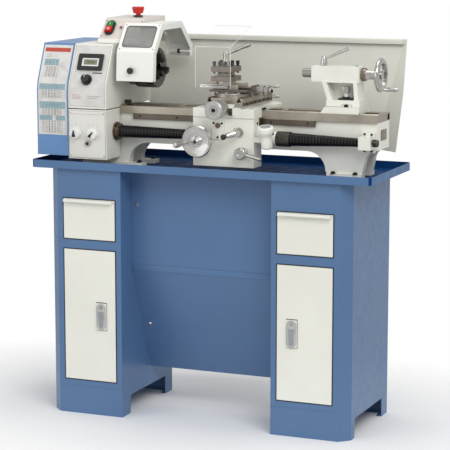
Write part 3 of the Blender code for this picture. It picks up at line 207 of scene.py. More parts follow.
def lathe_turned(name, colour, axis, centre, rough=(0.16, 0.3), pitch=0.0009, edge=0.0006):
    """Turned metal: fine rings round an axis through centre (shop coordinates)."""
    s = Shader(name)
    place = Vector(centre) - SHIFT
    split = s.node("ShaderNodeSeparateXYZ")
    s.link(s.mapped(location=tuple(-place)), split.inputs[0])
    pair = {"X": ("Y", "Z"), "Y": ("X", "Z"), "Z": ("X", "Y")}[axis]
    squares = [s.math("MULTIPLY", split.outputs[c], split.outputs[c]) for c in pair]
    radius = s.math("SQRT", s.math("ADD", squares[0], squares[1]))
    rings = s.math("SINE", s.math("MULTIPLY", s.math("ADD", radius, split.outputs[axis]),
        2 * math.pi / pitch))
    smear = s.noise(60.0, 5.0)
    s.colour(s.mix(s.ramp(smear, 0.0, 1.0), colour, shade(colour, 0.86)))
    s.link(s.ramp(smear, rough[0], rough[1]), s.principled.inputs["Roughness"])
    s.bump(rings, 0.1, 0.00015, edge)
    s.set(Metallic=1.0)
    return s.material


def blackened(name, colour=(0.022, 0.021, 0.022), rough=(0.3, 0.46), metallic=0.55):
    s = Shader(name)
    worn = s.ramp(s.noise(220.0, 6.0), 0.0, 1.0, 0.55, 0.75)
    s.colour(s.mix(worn, colour, shade(colour, 2.4)))
    s.link(s.ramp(s.noise(90.0, 4.0), rough[0], rough[1]), s.principled.inputs["Roughness"])
    s.bump(s.noise(500.0, 3.0), 0.12, 0.0002, 0.0005)
    s.set(Metallic=metallic)
    return s.material


def plastic(name, colour, rough=(0.36, 0.5), grain=1400.0):
    s = Shader(name)
    drift = s.ramp(s.noise(30.0, 4.0), 0.0, 1.0)
    s.colour(s.mix(drift, shade(colour, 0.92), shade(colour, 1.05)))
    s.link(s.ramp(s.noise(160.0, 4.0), rough[0], rough[1]), s.principled.inputs["Roughness"])
    s.bump(s.noise(grain, 2.0), 0.12, 0.0002, 0.0006)
    return s.material


def clear(name, colour, alpha):
    """Clear sheet with faint handling haze."""
    s = Shader(name)
    haze = s.ramp(s.noise(9.0, 5.0), 0.0, 1.0)
    s.colour(s.mix(haze, colour, shade(colour, 0.9)))
    s.link(s.ramp(haze, 0.06, 0.2, 0.0, 1.0), s.principled.inputs["Roughness"])
    s.bump(s.noise(35.0, 2.0), 0.03, 0.0005)
    s.set(Alpha=alpha, IOR=1.49)
    return s.material


def lcd(name):
    s = Shader(name)
    split = s.node("ShaderNodeSeparateXYZ")
    s.link(s.coords, split.inputs[0])
    lines = s.math("SINE", s.math("MULTIPLY", split.outputs["X"], 2 * math.pi / 0.0011))
    s.colour(s.mix(s.ramp(lines, 0.0, 0.25, -1.0, 1.0), srgb(132, 138, 112), srgb(112, 118, 96)))
    s.set(Roughness=0.25)
    s.bump(s.noise(300.0, 2.0), 0.05, 0.0002)
    return s.material


def spiral_steel(name):
    """Wound spring strip, oily black with brighter rubbed crests."""
    s = Shader(name)
    split = s.node("ShaderNodeSeparateXYZ")
    s.link(s.coords, split.inputs[0])
    crest = s.math("SINE", s.math("MULTIPLY", split.outputs["X"], 2 * math.pi / 0.01))
    rub = s.ramp(s.math("ADD", crest, s.noise(160.0, 6.0, (0.15, 1, 1))), 0.0, 1.0, 0.6, 1.5)
    s.colour(s.mix(rub, (0.01, 0.009, 0.009), (0.038, 0.036, 0.034)))
    s.link(s.ramp(s.noise(120.0, 4.0), 0.22, 0.42), s.principled.inputs["Roughness"])
    s.bump(s.noise(600.0, 3.0), 0.1, 0.0002)
    s.set(Metallic=0.7)
    return s.material


BLUE_RGB = srgb(80, 114, 156)
WHITE_RGB = srgb(232, 232, 222)
PANEL_RGB = srgb(222, 220, 214)
CREAM_RGB = srgb(234, 234, 224)
STEEL_RGB = srgb(190, 182, 170)

blue = paint("blue_enamel", BLUE_RGB)
blue_cover = paint("blue_cover_enamel", srgb(92, 134, 184))
cream = paint("cream_enamel", CREAM_RGB)
splash_paint = paint("splash_enamel", srgb(220, 219, 208))
white = cast_paint("casting_enamel", WHITE_RGB)
panel_white = paint("panel_enamel", PANEL_RGB, grain=700.0)
sheet_white = paint("sheet_enamel", srgb(236, 236, 230))
label_white = plastic("label_film", srgb(214, 212, 208), rough=(0.4, 0.5))
label_head = plastic("label_heading", srgb(140, 168, 176))
label_ink = plastic("label_ink", srgb(92, 92, 96))
label_red = plastic("label_red", srgb(186, 74, 54))
steel_x = ground("ground_steel_x", STEEL_RGB, "X")
steel_y = ground("ground_steel_y", STEEL_RGB, "Y")
steel_dark = ground("dark_steel", srgb(118, 108, 98), "X", (0.34, 0.5))
post_steel = ground("post_steel", srgb(148, 138, 128), "Z", (0.34, 0.5))
bright = ground("bright_steel", srgb(200, 198, 194), "X", (0.16, 0.3))
chuck_steel = lathe_turned("chuck_steel", srgb(118, 117, 117), "X", (0, AXIS_Y, AXIS_Z))
gear_steel = lathe_turned("gear_steel", srgb(160, 156, 150), "X", (0, AXIS_Y, AXIS_Z))
wheel_metal = lathe_turned("apron_wheel_metal", srgb(226, 224, 221), "Y",
    (APRON_WHEEL[0], 0, APRON_WHEEL[1]), (0.12, 0.22))
cross_metal = lathe_turned("cross_wheel_metal", srgb(196, 195, 192), "Y",
    (CROSS_WHEEL[0], 0, CROSS_WHEEL[1]), (0.34, 0.46))
quill_metal = lathe_turned("quill_metal", srgb(190, 186, 180), "X", (0, AXIS_Y, AXIS_Z))
rim_metal = lathe_turned("rim_metal", srgb(206, 204, 200), "X", (0, AXIS_Y, AXIS_Z), (0.1, 0.2))
top_metal = lathe_turned("top_wheel_metal", srgb(178, 174, 168), "X", (0, *TOP_SCREW), (0.28, 0.4))
collar_metal = lathe_turned("bronzed_collar", srgb(150, 136, 120), "X", (0, AXIS_Y, AXIS_Z))
flange_metal = lathe_turned("flange_metal", srgb(120, 104, 88), "X", (0, SCREW_Y, SCREW_Z), (0.3, 0.45))
black = blackened("blackened_steel")
black_plastic = plastic("black_moulding", (0.016, 0.016, 0.017))
grey_plastic = plastic("grey_moulding", srgb(150, 154, 158))
dark_grey = plastic("dark_grey_moulding", srgb(84, 86, 90))
red_plastic = plastic("red_moulding", srgb(196, 30, 24), (0.22, 0.34))
green_plastic = plastic("green_moulding", srgb(20, 122, 58), (0.22, 0.34))
bezel_white = plastic("white_bezel", srgb(232, 232, 230))
belt_rubber = plastic("belt_rubber", (0.018, 0.018, 0.018), (0.7, 0.85))
motor_paint = cast_paint("motor_enamel", (0.03, 0.032, 0.036))
window_clear = clear("window_sheet", (0.36, 0.37, 0.36), 0.42)
shield_clear = clear("shield_sheet", (0.8, 0.79, 0.75), 0.045)
shield_edge = plastic("shield_edge", srgb(238, 236, 228), (0.1, 0.2))
box_paint = paint("control_box_enamel", srgb(212, 206, 198))
jaw_steel = ground("jaw_steel", srgb(84, 82, 80), "X", (0.34, 0.5))
# Near-black for the frames round the doors and drawers: painted shadow of the gaps round them.
door_gap_shadow_black = plastic("door_gap_painted_shadow", (0.02, 0.024, 0.03), (0.6, 0.8))
latch_grey = plastic("latch_grey", srgb(186, 188, 186))
screen = lcd("speed_screen")
spiral = spiral_steel("spiral_strip")
oil_glass = plastic("oil_glass", srgb(40, 34, 26), (0.08, 0.14))


def two_tone(name, colour, metal, low, high):
    """Painted casting whose machined band between two heights is bare ground steel."""
    s = Shader(name)
    split = s.node("ShaderNodeSeparateXYZ")
    s.link(s.coords, split.inputs[0])
    above = s.math("GREATER_THAN", split.outputs["Z"], low)
    below = s.math("LESS_THAN", split.outputs["Z"], high)
    band = s.math("MULTIPLY", above, below)
    marks = s.noise(900.0, 2.0, (0.02, 1, 1))
    drift = s.ramp(s.noise(9.0, 5.0), 0.0, 1.0)
    enamel = s.mix(drift, shade(colour, 0.95), shade(colour, 1.02))
    stain = s.ramp(s.noise(14.0, 6.0), 0.0, 1.0, 0.38, 0.7)
    bare = s.mix(stain, metal, shade(metal, 0.74))
    s.colour(s.mix(band, enamel, bare))
    s.link(band, s.principled.inputs["Metallic"])
    enamel_rough = s.ramp(s.noise(30.0, 5.0), 0.3, 0.45)
    bare_rough = s.ramp(marks, 0.28, 0.44, 0.3, 0.7)
    picked = s.node("ShaderNodeMix", data_type="FLOAT")
    s.link(band, picked.inputs[0])
    s.link(enamel_rough, picked.inputs[2])
    s.link(bare_rough, picked.inputs[3])
    s.link(picked.outputs[0], s.principled.inputs["Roughness"])
    s.bump(s.math("ADD", s.noise(70.0, 3.0), s.math("MULTIPLY", marks, 0.2)), 0.12, 0.0008, 0.0015)
    return s.material


def tray_enamel_with_painted_shade():
    """Stand blue outside; the inside of the tray is painted a deep blue: painted shade for the shaded tray
    under the bed.
    """
    s = Shader("tray_enamel_with_painted_shade")
    split = s.node("ShaderNodeSeparateXYZ")
    s.link(s.coords, split.inputs[0])
    inside_x = s.math("LESS_THAN", s.math("ABSOLUTE", s.math("ADD", split.outputs["X"], 0.0115)), 0.5588)
    inside_y = s.math("LESS_THAN", s.math("ABSOLUTE", s.math("ADD", split.outputs["Y"], -0.02665)), 0.1942)
    above = s.math("GREATER_THAN", split.outputs["Z"], 0.7852)
    # Mask of the tray's inside, where the deep blue painted shade goes.
    painted_shade_inside = s.math("MULTIPLY", s.math("MULTIPLY", inside_x, inside_y), above)
    drift = s.ramp(s.noise(5.0, 4.0), 0.0, 1.0)
    outer = s.mix(drift, shade(BLUE_RGB, 0.965), shade(BLUE_RGB, 1.04))
    # Deep blue painted shade for the inside of the tray under the bed.
    inner = s.mix(drift, srgb(14, 54, 104), srgb(18, 64, 116))
    s.colour(s.mix(painted_shade_inside, outer, inner))
    s.link(s.ramp(s.noise(24.0, 5.0), 0.38, 0.55), s.principled.inputs["Roughness"])
    s.bump(s.noise(900.0, 2.0), 0.1, 0.0004, 0.0012)
    s.link(s.ramp(painted_shade_inside, 0.45, 0.04, 0.0, 1.0), s.principled.inputs["Specular IOR Level"])
    return s.material


tray_blue = tray_enamel_with_painted_shade()
compound_metal = two_tone("compound_casting", srgb(92, 84, 76), srgb(178, 172, 162), 1.018, 1.0312)
bed_paint = two_tone("bed_casting", WHITE_RGB, srgb(186, 178, 164), 0.9548, 1.2)

NODE_LOOKS = {
    "left_cabinet": blue, "right_cabinet": blue, "chip_tray": tray_blue, "knee_panel": blue,
    "end_cover": blue_cover,
    "left_drawer": cream, "right_drawer": cream, "left_door": cream, "right_door": cream,
    "left_door_latch": cream, "right_door_latch": cream,
    "backsplash": splash_paint, "bed": bed_paint, "rack": steel_dark, "leadscrew": steel_dark,
    "leadscrew_bracket": white, "gearbox_housing": white, "selector_knob_left": bezel_white,
    "selector_knob_right": bezel_white, "headstock_casting": white, "display_unit": black_plastic,
    "speed_dial": black_plastic, "control_box": box_paint, "start_button": green_plastic,
    "stop_button": red_plastic, "emergency_stop": red_plastic, "spindle": gear_steel,
    "chuck_body": chuck_steel, "chuck_jaw_1": jaw_steel, "chuck_jaw_2": jaw_steel,
    "chuck_jaw_3": jaw_steel, "chuck_guard": sheet_white, "guard_window": window_clear,
    "motor": motor_paint, "motor_pulley": gear_steel, "spindle_pulley": gear_steel,
    "idler_gear": gear_steel, "leadscrew_gear": gear_steel, "drive_belt": belt_rubber,
    "saddle": white, "apron": white, "apron_handwheel": wheel_metal, "cross_slide": steel_y,
    "cross_slide_handwheel": cross_metal, "compound_base": compound_metal, "top_slide": steel_x,
    "top_slide_handwheel": top_metal, "tool_post": post_steel, "tool_post_lever": bright,
    "half_nut_lever": bright, "feed_lever": bright, "thread_dial": white,
    "chip_shield": shield_clear, "tailstock_base": white, "tailstock_body": white,
    "quill": quill_metal, "quill_handwheel": rim_metal, "quill_lock_lever": bright,
    "leadscrew_cover_left": spiral, "leadscrew_cover_right": spiral,
}
for node_name, look in NODE_LOOKS.items():
    node_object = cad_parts[node_name]
    for material_slot in node_object.material_slots:
        material_slot.material = look


# ------------------------------------------------------------------ piece building
# Material slots and the looks that go with them; a piece may name another slot itself.
SLOTS = {
    "polished_steel": (bright, cross_metal), "polished_aluminium": (rim_metal,),
    "ground_steel": (steel_dark, flange_metal, collar_metal, post_steel),
    "black_oxide": (black, label_ink, spiral, motor_paint), "clear_sheet": (shield_edge,),
    "black_plastic": (black_plastic, oil_glass, screen, door_gap_shadow_black),
    "grey_plastic": (grey_plastic, dark_grey, latch_grey, label_head),
    "machine_white": (white, label_white, panel_white, bezel_white, sheet_white),
    "blue_paint": (blue, blue_cover), "cream_paint": (splash_paint,),
    "red_plastic": (label_red, red_plastic),
}
SLOT_OF_LOOK = {look.name: slot for slot, looks in SLOTS.items() for look in looks}


def on_axis(axis, along, a, b):
    """Point given by its place along an axis and its two other coordinates, in order."""
    if axis == "X":
        return (along, a, b)
    return (a, along, b) if axis == "Y" else (a, b, along)


def around(count, axis, centre):
    """Steps evenly round an axis, each with its rotation."""
    return [(step, (2 * math.pi * step / count, axis, centre)) for step in range(count)]


class Piece:
    """Gathers solids in shop coordinates into one named object that rides on a body."""

    def __init__(self, name, look, body, slot=None):
        self.name, self.look, self.body = name, look, body
        self.slot = slot or SLOT_OF_LOOK[look.name]
        self.bm = bmesh.new()

    def turn(self, verts, rotations):
        """Turns vertices by one (angle, axis, centre) rotation, or by several in order."""
        for angle, axis, centre in rotations if isinstance(rotations, list) else [rotations]:
            move = Matrix.Translation(Vector(centre))
            matrix = move @ Matrix.Rotation(angle, 4, axis) @ move.inverted()
            bmesh.ops.transform(self.bm, matrix=matrix, verts=verts)

    def skin(self, loops, closed, rotation=None):
        """Bands of faces between loops of points, and from the last to the first if closed."""
        rows = [[self.bm.verts.new(point) for point in loop] for loop in loops]
        count = len(rows[0])
        for low, high in zip(rows, rows[1:] + (rows[:1] if closed else [])):
            for step in range(count):
                after = (step + 1) % count
                self.bm.faces.new((low[step], low[after], high[after], high[step]))
        if not closed:
            self.bm.faces.new(rows[0])
            self.bm.faces.new(rows[-1])
        if rotation:
            self.turn([vert for row in rows for vert in row], rotation)
        return self

    def block(self, x, y, z, bevel=0.0006, rotation=None):
        made = bmesh.ops.create_cube(self.bm, size=1.0)
        verts = made["verts"]
        size = Vector((x[1] - x[0], y[1] - y[0], z[1] - z[0]))
        middle = Vector((x[1] + x[0], y[1] + y[0], z[1] + z[0])) / 2
        bmesh.ops.scale(self.bm, vec=size, verts=verts)
        bmesh.ops.translate(self.bm, vec=middle, verts=verts)
        if bevel:
            edges = list({edge for vert in verts for edge in vert.link_edges})
            bevelled = bmesh.ops.bevel(self.bm, geom=edges, offset=min(bevel, min(size) * 0.4), segments=2,
                affect="EDGES", profile=0.7)
            kept = {vert for vert in verts if vert.is_valid}
            verts = list({vert for face in bevelled["faces"] for vert in face.verts} | kept)
        if rotation:
            self.turn(verts, rotation)
        return self

    def turned(self, axis, centre, profile, sides=40, rotation=None, closed=False):
        """Solid of revolution from (distance along the axis, radius) pairs."""
        angles = [2 * math.pi * step / sides for step in range(sides)]
        loops = []
        for along, radius in profile:
            across = [(centre[0] + radius * math.cos(a), centre[1] + radius * math.sin(a)) for a in angles]
            loops.append([on_axis(axis, along, *pair) for pair in across])
        return self.skin(loops, closed, rotation)

    def ring(self, axis, centre, profile, sides=48, rotation=None):
        """Ring of revolution: the profile is joined back to its start."""
        return self.turned(axis, centre, profile, sides, rotation, True)

    def frame(self, near, far, outer, inner, rotation=None):
        """Flat frame between two outlines with the same number of points (Y is the thin axis)."""
        sections = ((near, outer), (near, inner), (far, inner), (far, outer))
        return self.skin([[(a, y, b) for a, b in outline] for y, outline in sections], True, rotation)

    def prism(self, axis, start, end, outline, rotation=None):
        push = Vector(on_axis(axis, end - start, 0, 0))
        face = self.bm.faces.new([self.bm.verts.new(on_axis(axis, start, a, b)) for a, b in outline])
        moved = bmesh.ops.extrude_face_region(self.bm, geom=[face])
        verts = [item for item in moved["geom"] if isinstance(item, bmesh.types.BMVert)]
        bmesh.ops.translate(self.bm, verts=verts, vec=push)
        if rotation:
            self.turn(verts + list(face.verts), rotation)
        return self

    def bar(self, start, end, radius_start, radius_end, sides=20):
        start, end = Vector(start), Vector(end)
        made = bmesh.ops.create_cone(self.bm, cap_ends=True, segments=sides, radius1=radius_start,
            radius2=radius_end, depth=(end - start).length)
        turn = (end - start).to_track_quat("Z", "Y").to_matrix().to_4x4()
        bmesh.ops.transform(self.bm, matrix=Matrix.Translation((start + end) / 2) @ turn,
            verts=made["verts"])
        return self

    def ball(self, centre, radius, scale=(1, 1, 1)):
        made = bmesh.ops.create_uvsphere(self.bm, u_segments=24, v_segments=14, radius=radius)
        bmesh.ops.scale(self.bm, vec=Vector(scale), verts=made["verts"])
        bmesh.ops.translate(self.bm, vec=Vector(centre), verts=made["verts"])
        return self

    def front_sheet(self, x0, x1, low, high, near=0.0006, far=0.0001):
        """Thin sheet following the upright, then leaning, front of the headstock and end cover."""
        def front(z):
            if z <= 1.03:
                return 0.0
            if z <= 1.05:
                return (z - 1.03) / 0.02 * 0.003
            return 0.003 + (z - 1.05) / 0.12 * 0.0515
        heights = [low] + [z for z in (1.03, 1.05) if low < z < high] + [high]
        outline = [(front(z) - near, z) for z in heights] + [(front(z) - far, z) for z in reversed(heights)]
        return self.prism("X", x0, x1, outline)

    def screw(self, axis, along, centre, radius, height, out=1):
        """Socket-head screw: chamfered head with a hexagon socket sunk in it."""
        top = along + out * height
        profile = [(along, radius), (top - out * height * 0.18, radius), (top, radius * 0.9),
            (top, radius * 0.5), (top - out * height * 0.55, radius * 0.48)]
        return self.turned(axis, centre, profile, 24)

    def done(self, smooth=35, bend=None):
        bmesh.ops.recalc_face_normals(self.bm, faces=self.bm.faces)
        bmesh.ops.translate(self.bm, vec=-SHIFT, verts=self.bm.verts)
        mesh = bpy.data.meshes.new(self.name)
        self.bm.to_mesh(mesh)
        self.bm.free()
        mesh.shade_smooth()
        mesh.set_sharp_from_angle(angle=math.radians(smooth))
        made = bpy.data.objects.new(self.name, mesh)
        bpy.context.scene.collection.objects.link(made)
        mesh.materials.append(self.look)
        if bend:
            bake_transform(made)
        else:
            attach(made, self.body)
        return made


def numbers(name, words, size, place, look, body, rotation=None):
    """Plain numerals as thin raised mesh, centred on a point in shop coordinates."""
    curve = bpy.data.curves.new(name, "FONT")
    curve.body = words
    curve.size = size
    curve.extrude = 0.00008
    curve.align_x = "CENTER"
    curve.align_y = "CENTER"
    curve.resolution_u = 2
    text = bpy.data.objects.new(name + "_curve", curve)
    bpy.context.scene.collection.objects.link(text)
    bpy.context.view_layer.update()
    mesh = bpy.data.meshes.new_from_object(text)
    bpy.data.objects.remove(text, do_unlink=True)
    matrix = Matrix.Translation(Vector(place)) @ Matrix.Rotation(math.pi / 2, 4, "X")
    if rotation:
        angle, axis, centre = rotation
        move = Matrix.Translation(Vector(centre))
        matrix = move @ Matrix.Rotation(angle, 4, axis) @ move.inverted() @ matrix
    mesh.transform(Matrix.Translation(-SHIFT) @ matrix)
    mesh.materials.clear()
    mesh.materials.append(look)
    made = bpy.data.objects.new(name, mesh)
    bpy.context.scene.collection.objects.link(made)
    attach(made, body)


# ------------------------------------------------------------------ socket screws
def flange_bolt(index):
    """Place of one of the four bolts round the leadscrew's flange."""
    angle = math.radians(45 + 90 * index)
    return (SCREW_Y + 0.0268 * math.cos(angle), SCREW_Z + 0.0268 * math.sin(angle))


# name, look, body, axis, face it sits on, head radius, head height, way out, places
SOCKET_SCREWS = (
    ("gearbox_screws", bright, "machine", "Y", -0.0014, 0.0022, 0.0016, -1,
     [(x, z) for x in (-0.419, -0.304) for z in (0.827, 0.96)]),
    ("screw_flange_bolts", black, "machine", "X", -0.2908, 0.0034, 0.0052, 1,
     [flange_bolt(index) for index in range(4)]),
    ("screw_bracket_screws", black, "machine", "Y", 0.0925, 0.0034, 0.0038, -1,
     [(0.511, 0.9235), (0.533, 0.9225), (0.511, 0.8735), (0.533, 0.873)]),
    ("apron_plate_screws", black, "carriage", "Y", 0.0267, 0.0034, 0.0026, -1,
     [(0.0525, 0.944), (0.079, 0.944), (0.0655, 0.901)]),
    ("apron_side_screws", black, "carriage", "X", 0.182, 0.0034, 0.0026, 1, [(0.056, 0.84), (0.056, 0.945)]),
    ("apron_wheel_screw", black, "apron_handwheel", "Y", -0.0188, 0.0042, 0.0026, -1, [APRON_WHEEL]),
    ("cross_wheel_screw", black, "cross_slide_handwheel", "Y", -0.0472, 0.0062, 0.003, -1, [CROSS_WHEEL]),
    ("cross_screw_plate_screw", black, "carriage", "Y", 0.0122, 0.0036, 0.0022, -1, [(0.113, 0.9775)]),
    ("top_wheel_screw", black, "top_slide_handwheel", "X", 0.1978, 0.005, 0.0036, 1, [TOP_SCREW]),
    ("cross_gib_screws", black, "cross_slide", "X", 0.142, 0.003, 0.0034, 1,
     [(y, 1.001) for y in (0.07, 0.105, 0.14, 0.175, 0.21, 0.245)]),
    ("top_gib_screws", bright, "top_slide", "Y", 0.0952, 0.0026, 0.0024, -1,
     [(x, 1.046) for x in (0.0, 0.027, 0.054, 0.081)]),
    ("shield_screws", bright, "top_slide", "Y", 0.08, 0.004, 0.0026, -1, [(-0.004, 1.0475), (0.062, 1.0475)]),
    ("thread_dial_screw", black, "carriage", "X", 0.24, 0.004, 0.0036, 1, [(0.034, 0.918)]),
    ("tailstock_offset_screw", black, "tailstock", "Y", 0.1158, 0.0066, 0.003, -1, [(0.444, 1.001)]),
)


def socket_screws():
    for name, look, body, axis, face, radius, height, out, places in SOCKET_SCREWS:
        piece = Piece(name, look, body)
        for place in places:
            piece.screw(axis, face, place, radius, height, out)
        piece.done()


# ------------------------------------------------------------------ stand details
def stand_details():
    screws = Piece("knee_panel_screws", bright, "machine")
    for x, y, z, normal in ((-0.233, 0.0815, 0.67, (0, -1, 0)), (0.233, 0.0815, 0.67, (0, -1, 0)),
            (-0.225, 0.157, 0.2745, (0, -0.927, -0.375)), (0.225, 0.157, 0.2745, (0, -0.927, -0.375))):
        spot, out = Vector((x, y, z)), Vector(normal)
        screws.bar(spot, spot + out * 0.0016, 0.0075, 0.0072)
        screws.bar(spot + out * 0.0016, spot + out * 0.0044, 0.005, 0.0034)
    screws.done()
    Piece("knee_panel_joint", blue, "machine").block((-0.248, 0.248), (0.0795, 0.0818), (0.461, 0.48),
        0.0006).done()
    for side, word in ((-1, "left"), (1, "right")):
        # Near-black frames round the door and the drawer: painted shadow of the gaps round them.
        gap_shadow = Piece(word + "_door_gap_shadows", door_gap_shadow_black, "machine")
        middle = side * (0.2707 + 0.4471) / 2
        for low, high in ((0.1117, 0.5289), (0.5634, 0.6893)):
            half = ((0.4471 - 0.2707) / 2, (high - low) / 2)
            gap_shadow.frame(-0.001, -0.0001, rounded(middle, (low + high) / 2, half[0] + 0.0034,
                half[1] + 0.0034, 0.001), rounded(middle, (low + high) / 2, half[0] + 0.0003,
                half[1] + 0.0003, 0.001))
        gap_shadow.done()
        latch_details(side, word)
        plinth = Piece(word + "_plinth_seam", blue, "machine")
        x = sorted((side * 0.251, side * 0.467))
        plinth.block(x, (-0.0006, 0.0005), (0.09, 0.0912), 0.0002)
        plinth.done()


def latch_details(side, word):
    """Bezel round the paddle and its key barrel."""
    x = side * (0.25 + 0.0207 + 0.0305 + 0.0175)
    Piece(word + "_latch_plate", latch_grey, word + "_latch").frame(-0.007, -0.005,
        rounded(x, 0.3198, 0.016, 0.042, 0.0155), rounded(x, 0.3198, 0.0142, 0.0402, 0.0138)).prism("Y",
        -0.0062, -0.005, rounded(x, 0.3198, 0.014, 0.04, 0.0136)).done()
    Piece(word + "_latch_grip", grey_plastic, word + "_latch").prism("Y", -0.0074, -0.0062,
        [(x - 0.0094, 0.335), (x + 0.0094, 0.335), (x + 0.0066, 0.29), (x + 0.004, 0.285),
        (x - 0.004, 0.285), (x - 0.0066, 0.29)]).done()
    Piece(word + "_latch_key", bright, word + "_latch").turned("Y", (x, 0.35),
        [(-0.006, 0.0062), (-0.008, 0.0058), (-0.008, 0.003), (-0.0072, 0.0028)], 24).done()


def rounded(x, z, half_width, half_height, corner, steps=6):
    points = []
    for sx, sz, start in ((1, 1, 0), (-1, 1, 90), (-1, -1, 180), (1, -1, 270)):
        for step in range(steps + 1):
            angle = math.radians(start + 90 * step / steps)
            points.append((x + sx * (half_width - corner) + corner * math.cos(angle),
                z + sz * (half_height - corner) + corner * math.sin(angle)))
    return points


# ------------------------------------------------------------------ headstock end
def head_labels():
    y = SLOPE_AT[0]
    Piece("head_panel", label_white, "machine").front_sheet(-0.4215, -0.301, 0.98, 1.166).done()
    border = Piece("head_panel_border", label_ink, "machine", "black_plastic")
    for x in (-0.4215, -0.3014):
        border.front_sheet(x, x + 0.0004, 0.98, 1.166, 0.0009, 0.0005)
    border.block((-0.4215, -0.301), (-0.0009, -0.0005), (0.98, 0.9804), 0.0)
    for x in (-0.424, -0.2996):
        border.block((x, x + 0.0006), (-0.0019, -0.0014), (0.8205, 0.9665), 0.0)
    for z in (0.8205, 0.966):
        border.block((-0.424, -0.299), (-0.0019, -0.0014), (z, z + 0.0005), 0.0)
    border.done()
    Piece("gearbox_face", panel_white, "machine").block((-0.424, -0.299), (-0.0016, -0.0002),
        (0.82, 0.967), 0.0008).done()
    rules = Piece("head_panel_rules", label_ink, "machine", "black_plastic")
    for step in range(4):
        x = -0.35 + step * 0.0085
        rules.block((x, x + 0.0078), (y - 0.001, y - 0.0005), (1.078, 1.0822), 0.0, LEANED)
    for step in range(3):
        rules.block((-0.412, -0.405), (y - 0.001, y - 0.0005),
            (1.064 + step * 0.009, 1.0646 + step * 0.009), 0.0, LEANED)
    for z, x0, x1 in ((1.012, -0.36, -0.314), (1.006, -0.36, -0.326)):
        rules.block((x0, x1), (-0.0009, -0.0005), (z, z + 0.0008), 0.0)
    rules.done()
    reds = Piece("head_panel_red_rules", label_red, "machine")
    for row in range(4):
        z = 1.015 - row * 0.004
        reds.block((-0.414, -0.384 + 0.004 * (row % 2)), (-0.0009, -0.0005), (z, z + 0.0007), 0.0)
    reds.block((-0.418, -0.306), (-0.0019, -0.0015), (0.956, 0.9566), 0.0)
    reds.done()
    Piece("oil_sight_ring", bright, "machine").ring("Y", (-0.36, 0.8655),
        [(-0.0016, 0.01), (-0.006, 0.0096), (-0.006, 0.006), (-0.0016, 0.0058)], 32).done()
    Piece("oil_sight_glass", oil_glass, "machine").turned("Y", (-0.36, 0.8655),
        [(-0.0016, 0.0057), (-0.0044, 0.0057), (-0.0052, 0.003)], 24).done()
    for index, (x, z, words) in enumerate(((-0.4135, 0.9205, "1"), (-0.3995, 0.924, "2"),
            (-0.3855, 0.9205, "3"), (-0.354, 0.9205, "4"), (-0.34, 0.924, "5"),
            (-0.326, 0.9205, "6"))):
        numbers("selector_mark_%d" % (index + 1), words, 0.0062, (x, -0.0017, z), label_ink, "machine")


def knob_arrows():
    for word, x, z in (("left", -0.3995, 0.8962), ("right", -0.34, 0.8957)):
        arrow = Piece("selector_arrow_" + word, black, "selector_" + word, "black_plastic")
        turn = (0.0 if word == "left" else math.radians(35), "Y", (x, 0, z))
        arrow.prism("Y", -0.0244, -0.0202, [(x - 0.0056, z - 0.0098), (x + 0.0056, z - 0.0098),
            (x, z + 0.0112)], turn)
        arrow.done()
        Piece("selector_skirt_" + word, bezel_white, "selector_" + word).ring("Y", (x, z),
            [(-0.0018, 0.0176), (-0.018, 0.0171), (-0.02, 0.015), (-0.0196, 0.0148), (-0.015, 0.015),
            (-0.0018, 0.0165)], 48).done()


def display_details():
    y = SLOPE_AT[0]
    x0, x1 = -0.4025, -0.3195
    Piece("display_bezel", bezel_white, "machine").frame(y - 0.0052, y - 0.0037,
        rounded((x0 + x1) / 2, 1.114, 0.0292, 0.0132, 0.0012),
        rounded((x0 + x1) / 2, 1.114, 0.0232, 0.0086, 0.001), LEANED).done()
    Piece("display_screen", screen, "machine").block(((x0 + x1) / 2 - 0.0232, (x0 + x1) / 2 + 0.0232),
        (y - 0.0046, y - 0.0038), (1.1054, 1.1226), 0.0, LEANED).done()
    numbers("display_digits", "0000", 0.0135, ((x0 + x1) / 2, y - 0.0048, 1.114), dark_grey, "machine",
        LEANED)
    Piece("display_rim", black_plastic, "machine").frame(y - 0.009, y - 0.0068,
        rounded((x0 + x1) / 2, 1.114, 0.0415, 0.026, 0.004),
        rounded((x0 + x1) / 2, 1.114, 0.0305, 0.0145, 0.0015), LEANED).done()
    dial = Piece("speed_dial_cap", black_plastic, "speed_dial")
    centre = (-0.365, 1.057)
    sides = []
    for step in range(48):
        angle = 2 * math.pi * step / 48
        radius = 0.0118 if step % 4 < 2 else 0.0111
        sides.append((centre[0] + radius * math.cos(angle), centre[1] + radius * math.sin(angle)))
    dial.prism("Y", y - 0.0225, y - 0.007, sides, LEANED)
    dial.done()
    Piece("speed_dial_pointer", bezel_white, "speed_dial").block((centre[0] - 0.0007, centre[0] + 0.0007),
        (y - 0.0229, y - 0.0222), (centre[1] + 0.002, centre[1] + 0.0108), 0.0, LEANED).done()
    ticks = Piece("speed_dial_scale", label_ink, "machine", "black_plastic")
    for step in range(11):
        angle = math.radians(-225 + 27 * step)
        turn = (angle, "Y", (centre[0], y, centre[1]))
        ticks.block((centre[0] - 0.0004, centre[0] + 0.0004), (y - 0.0009, y - 0.0005),
            (centre[1] + 0.0188, centre[1] + 0.0215), 0.0, [turn, LEANED])
    ticks.done()


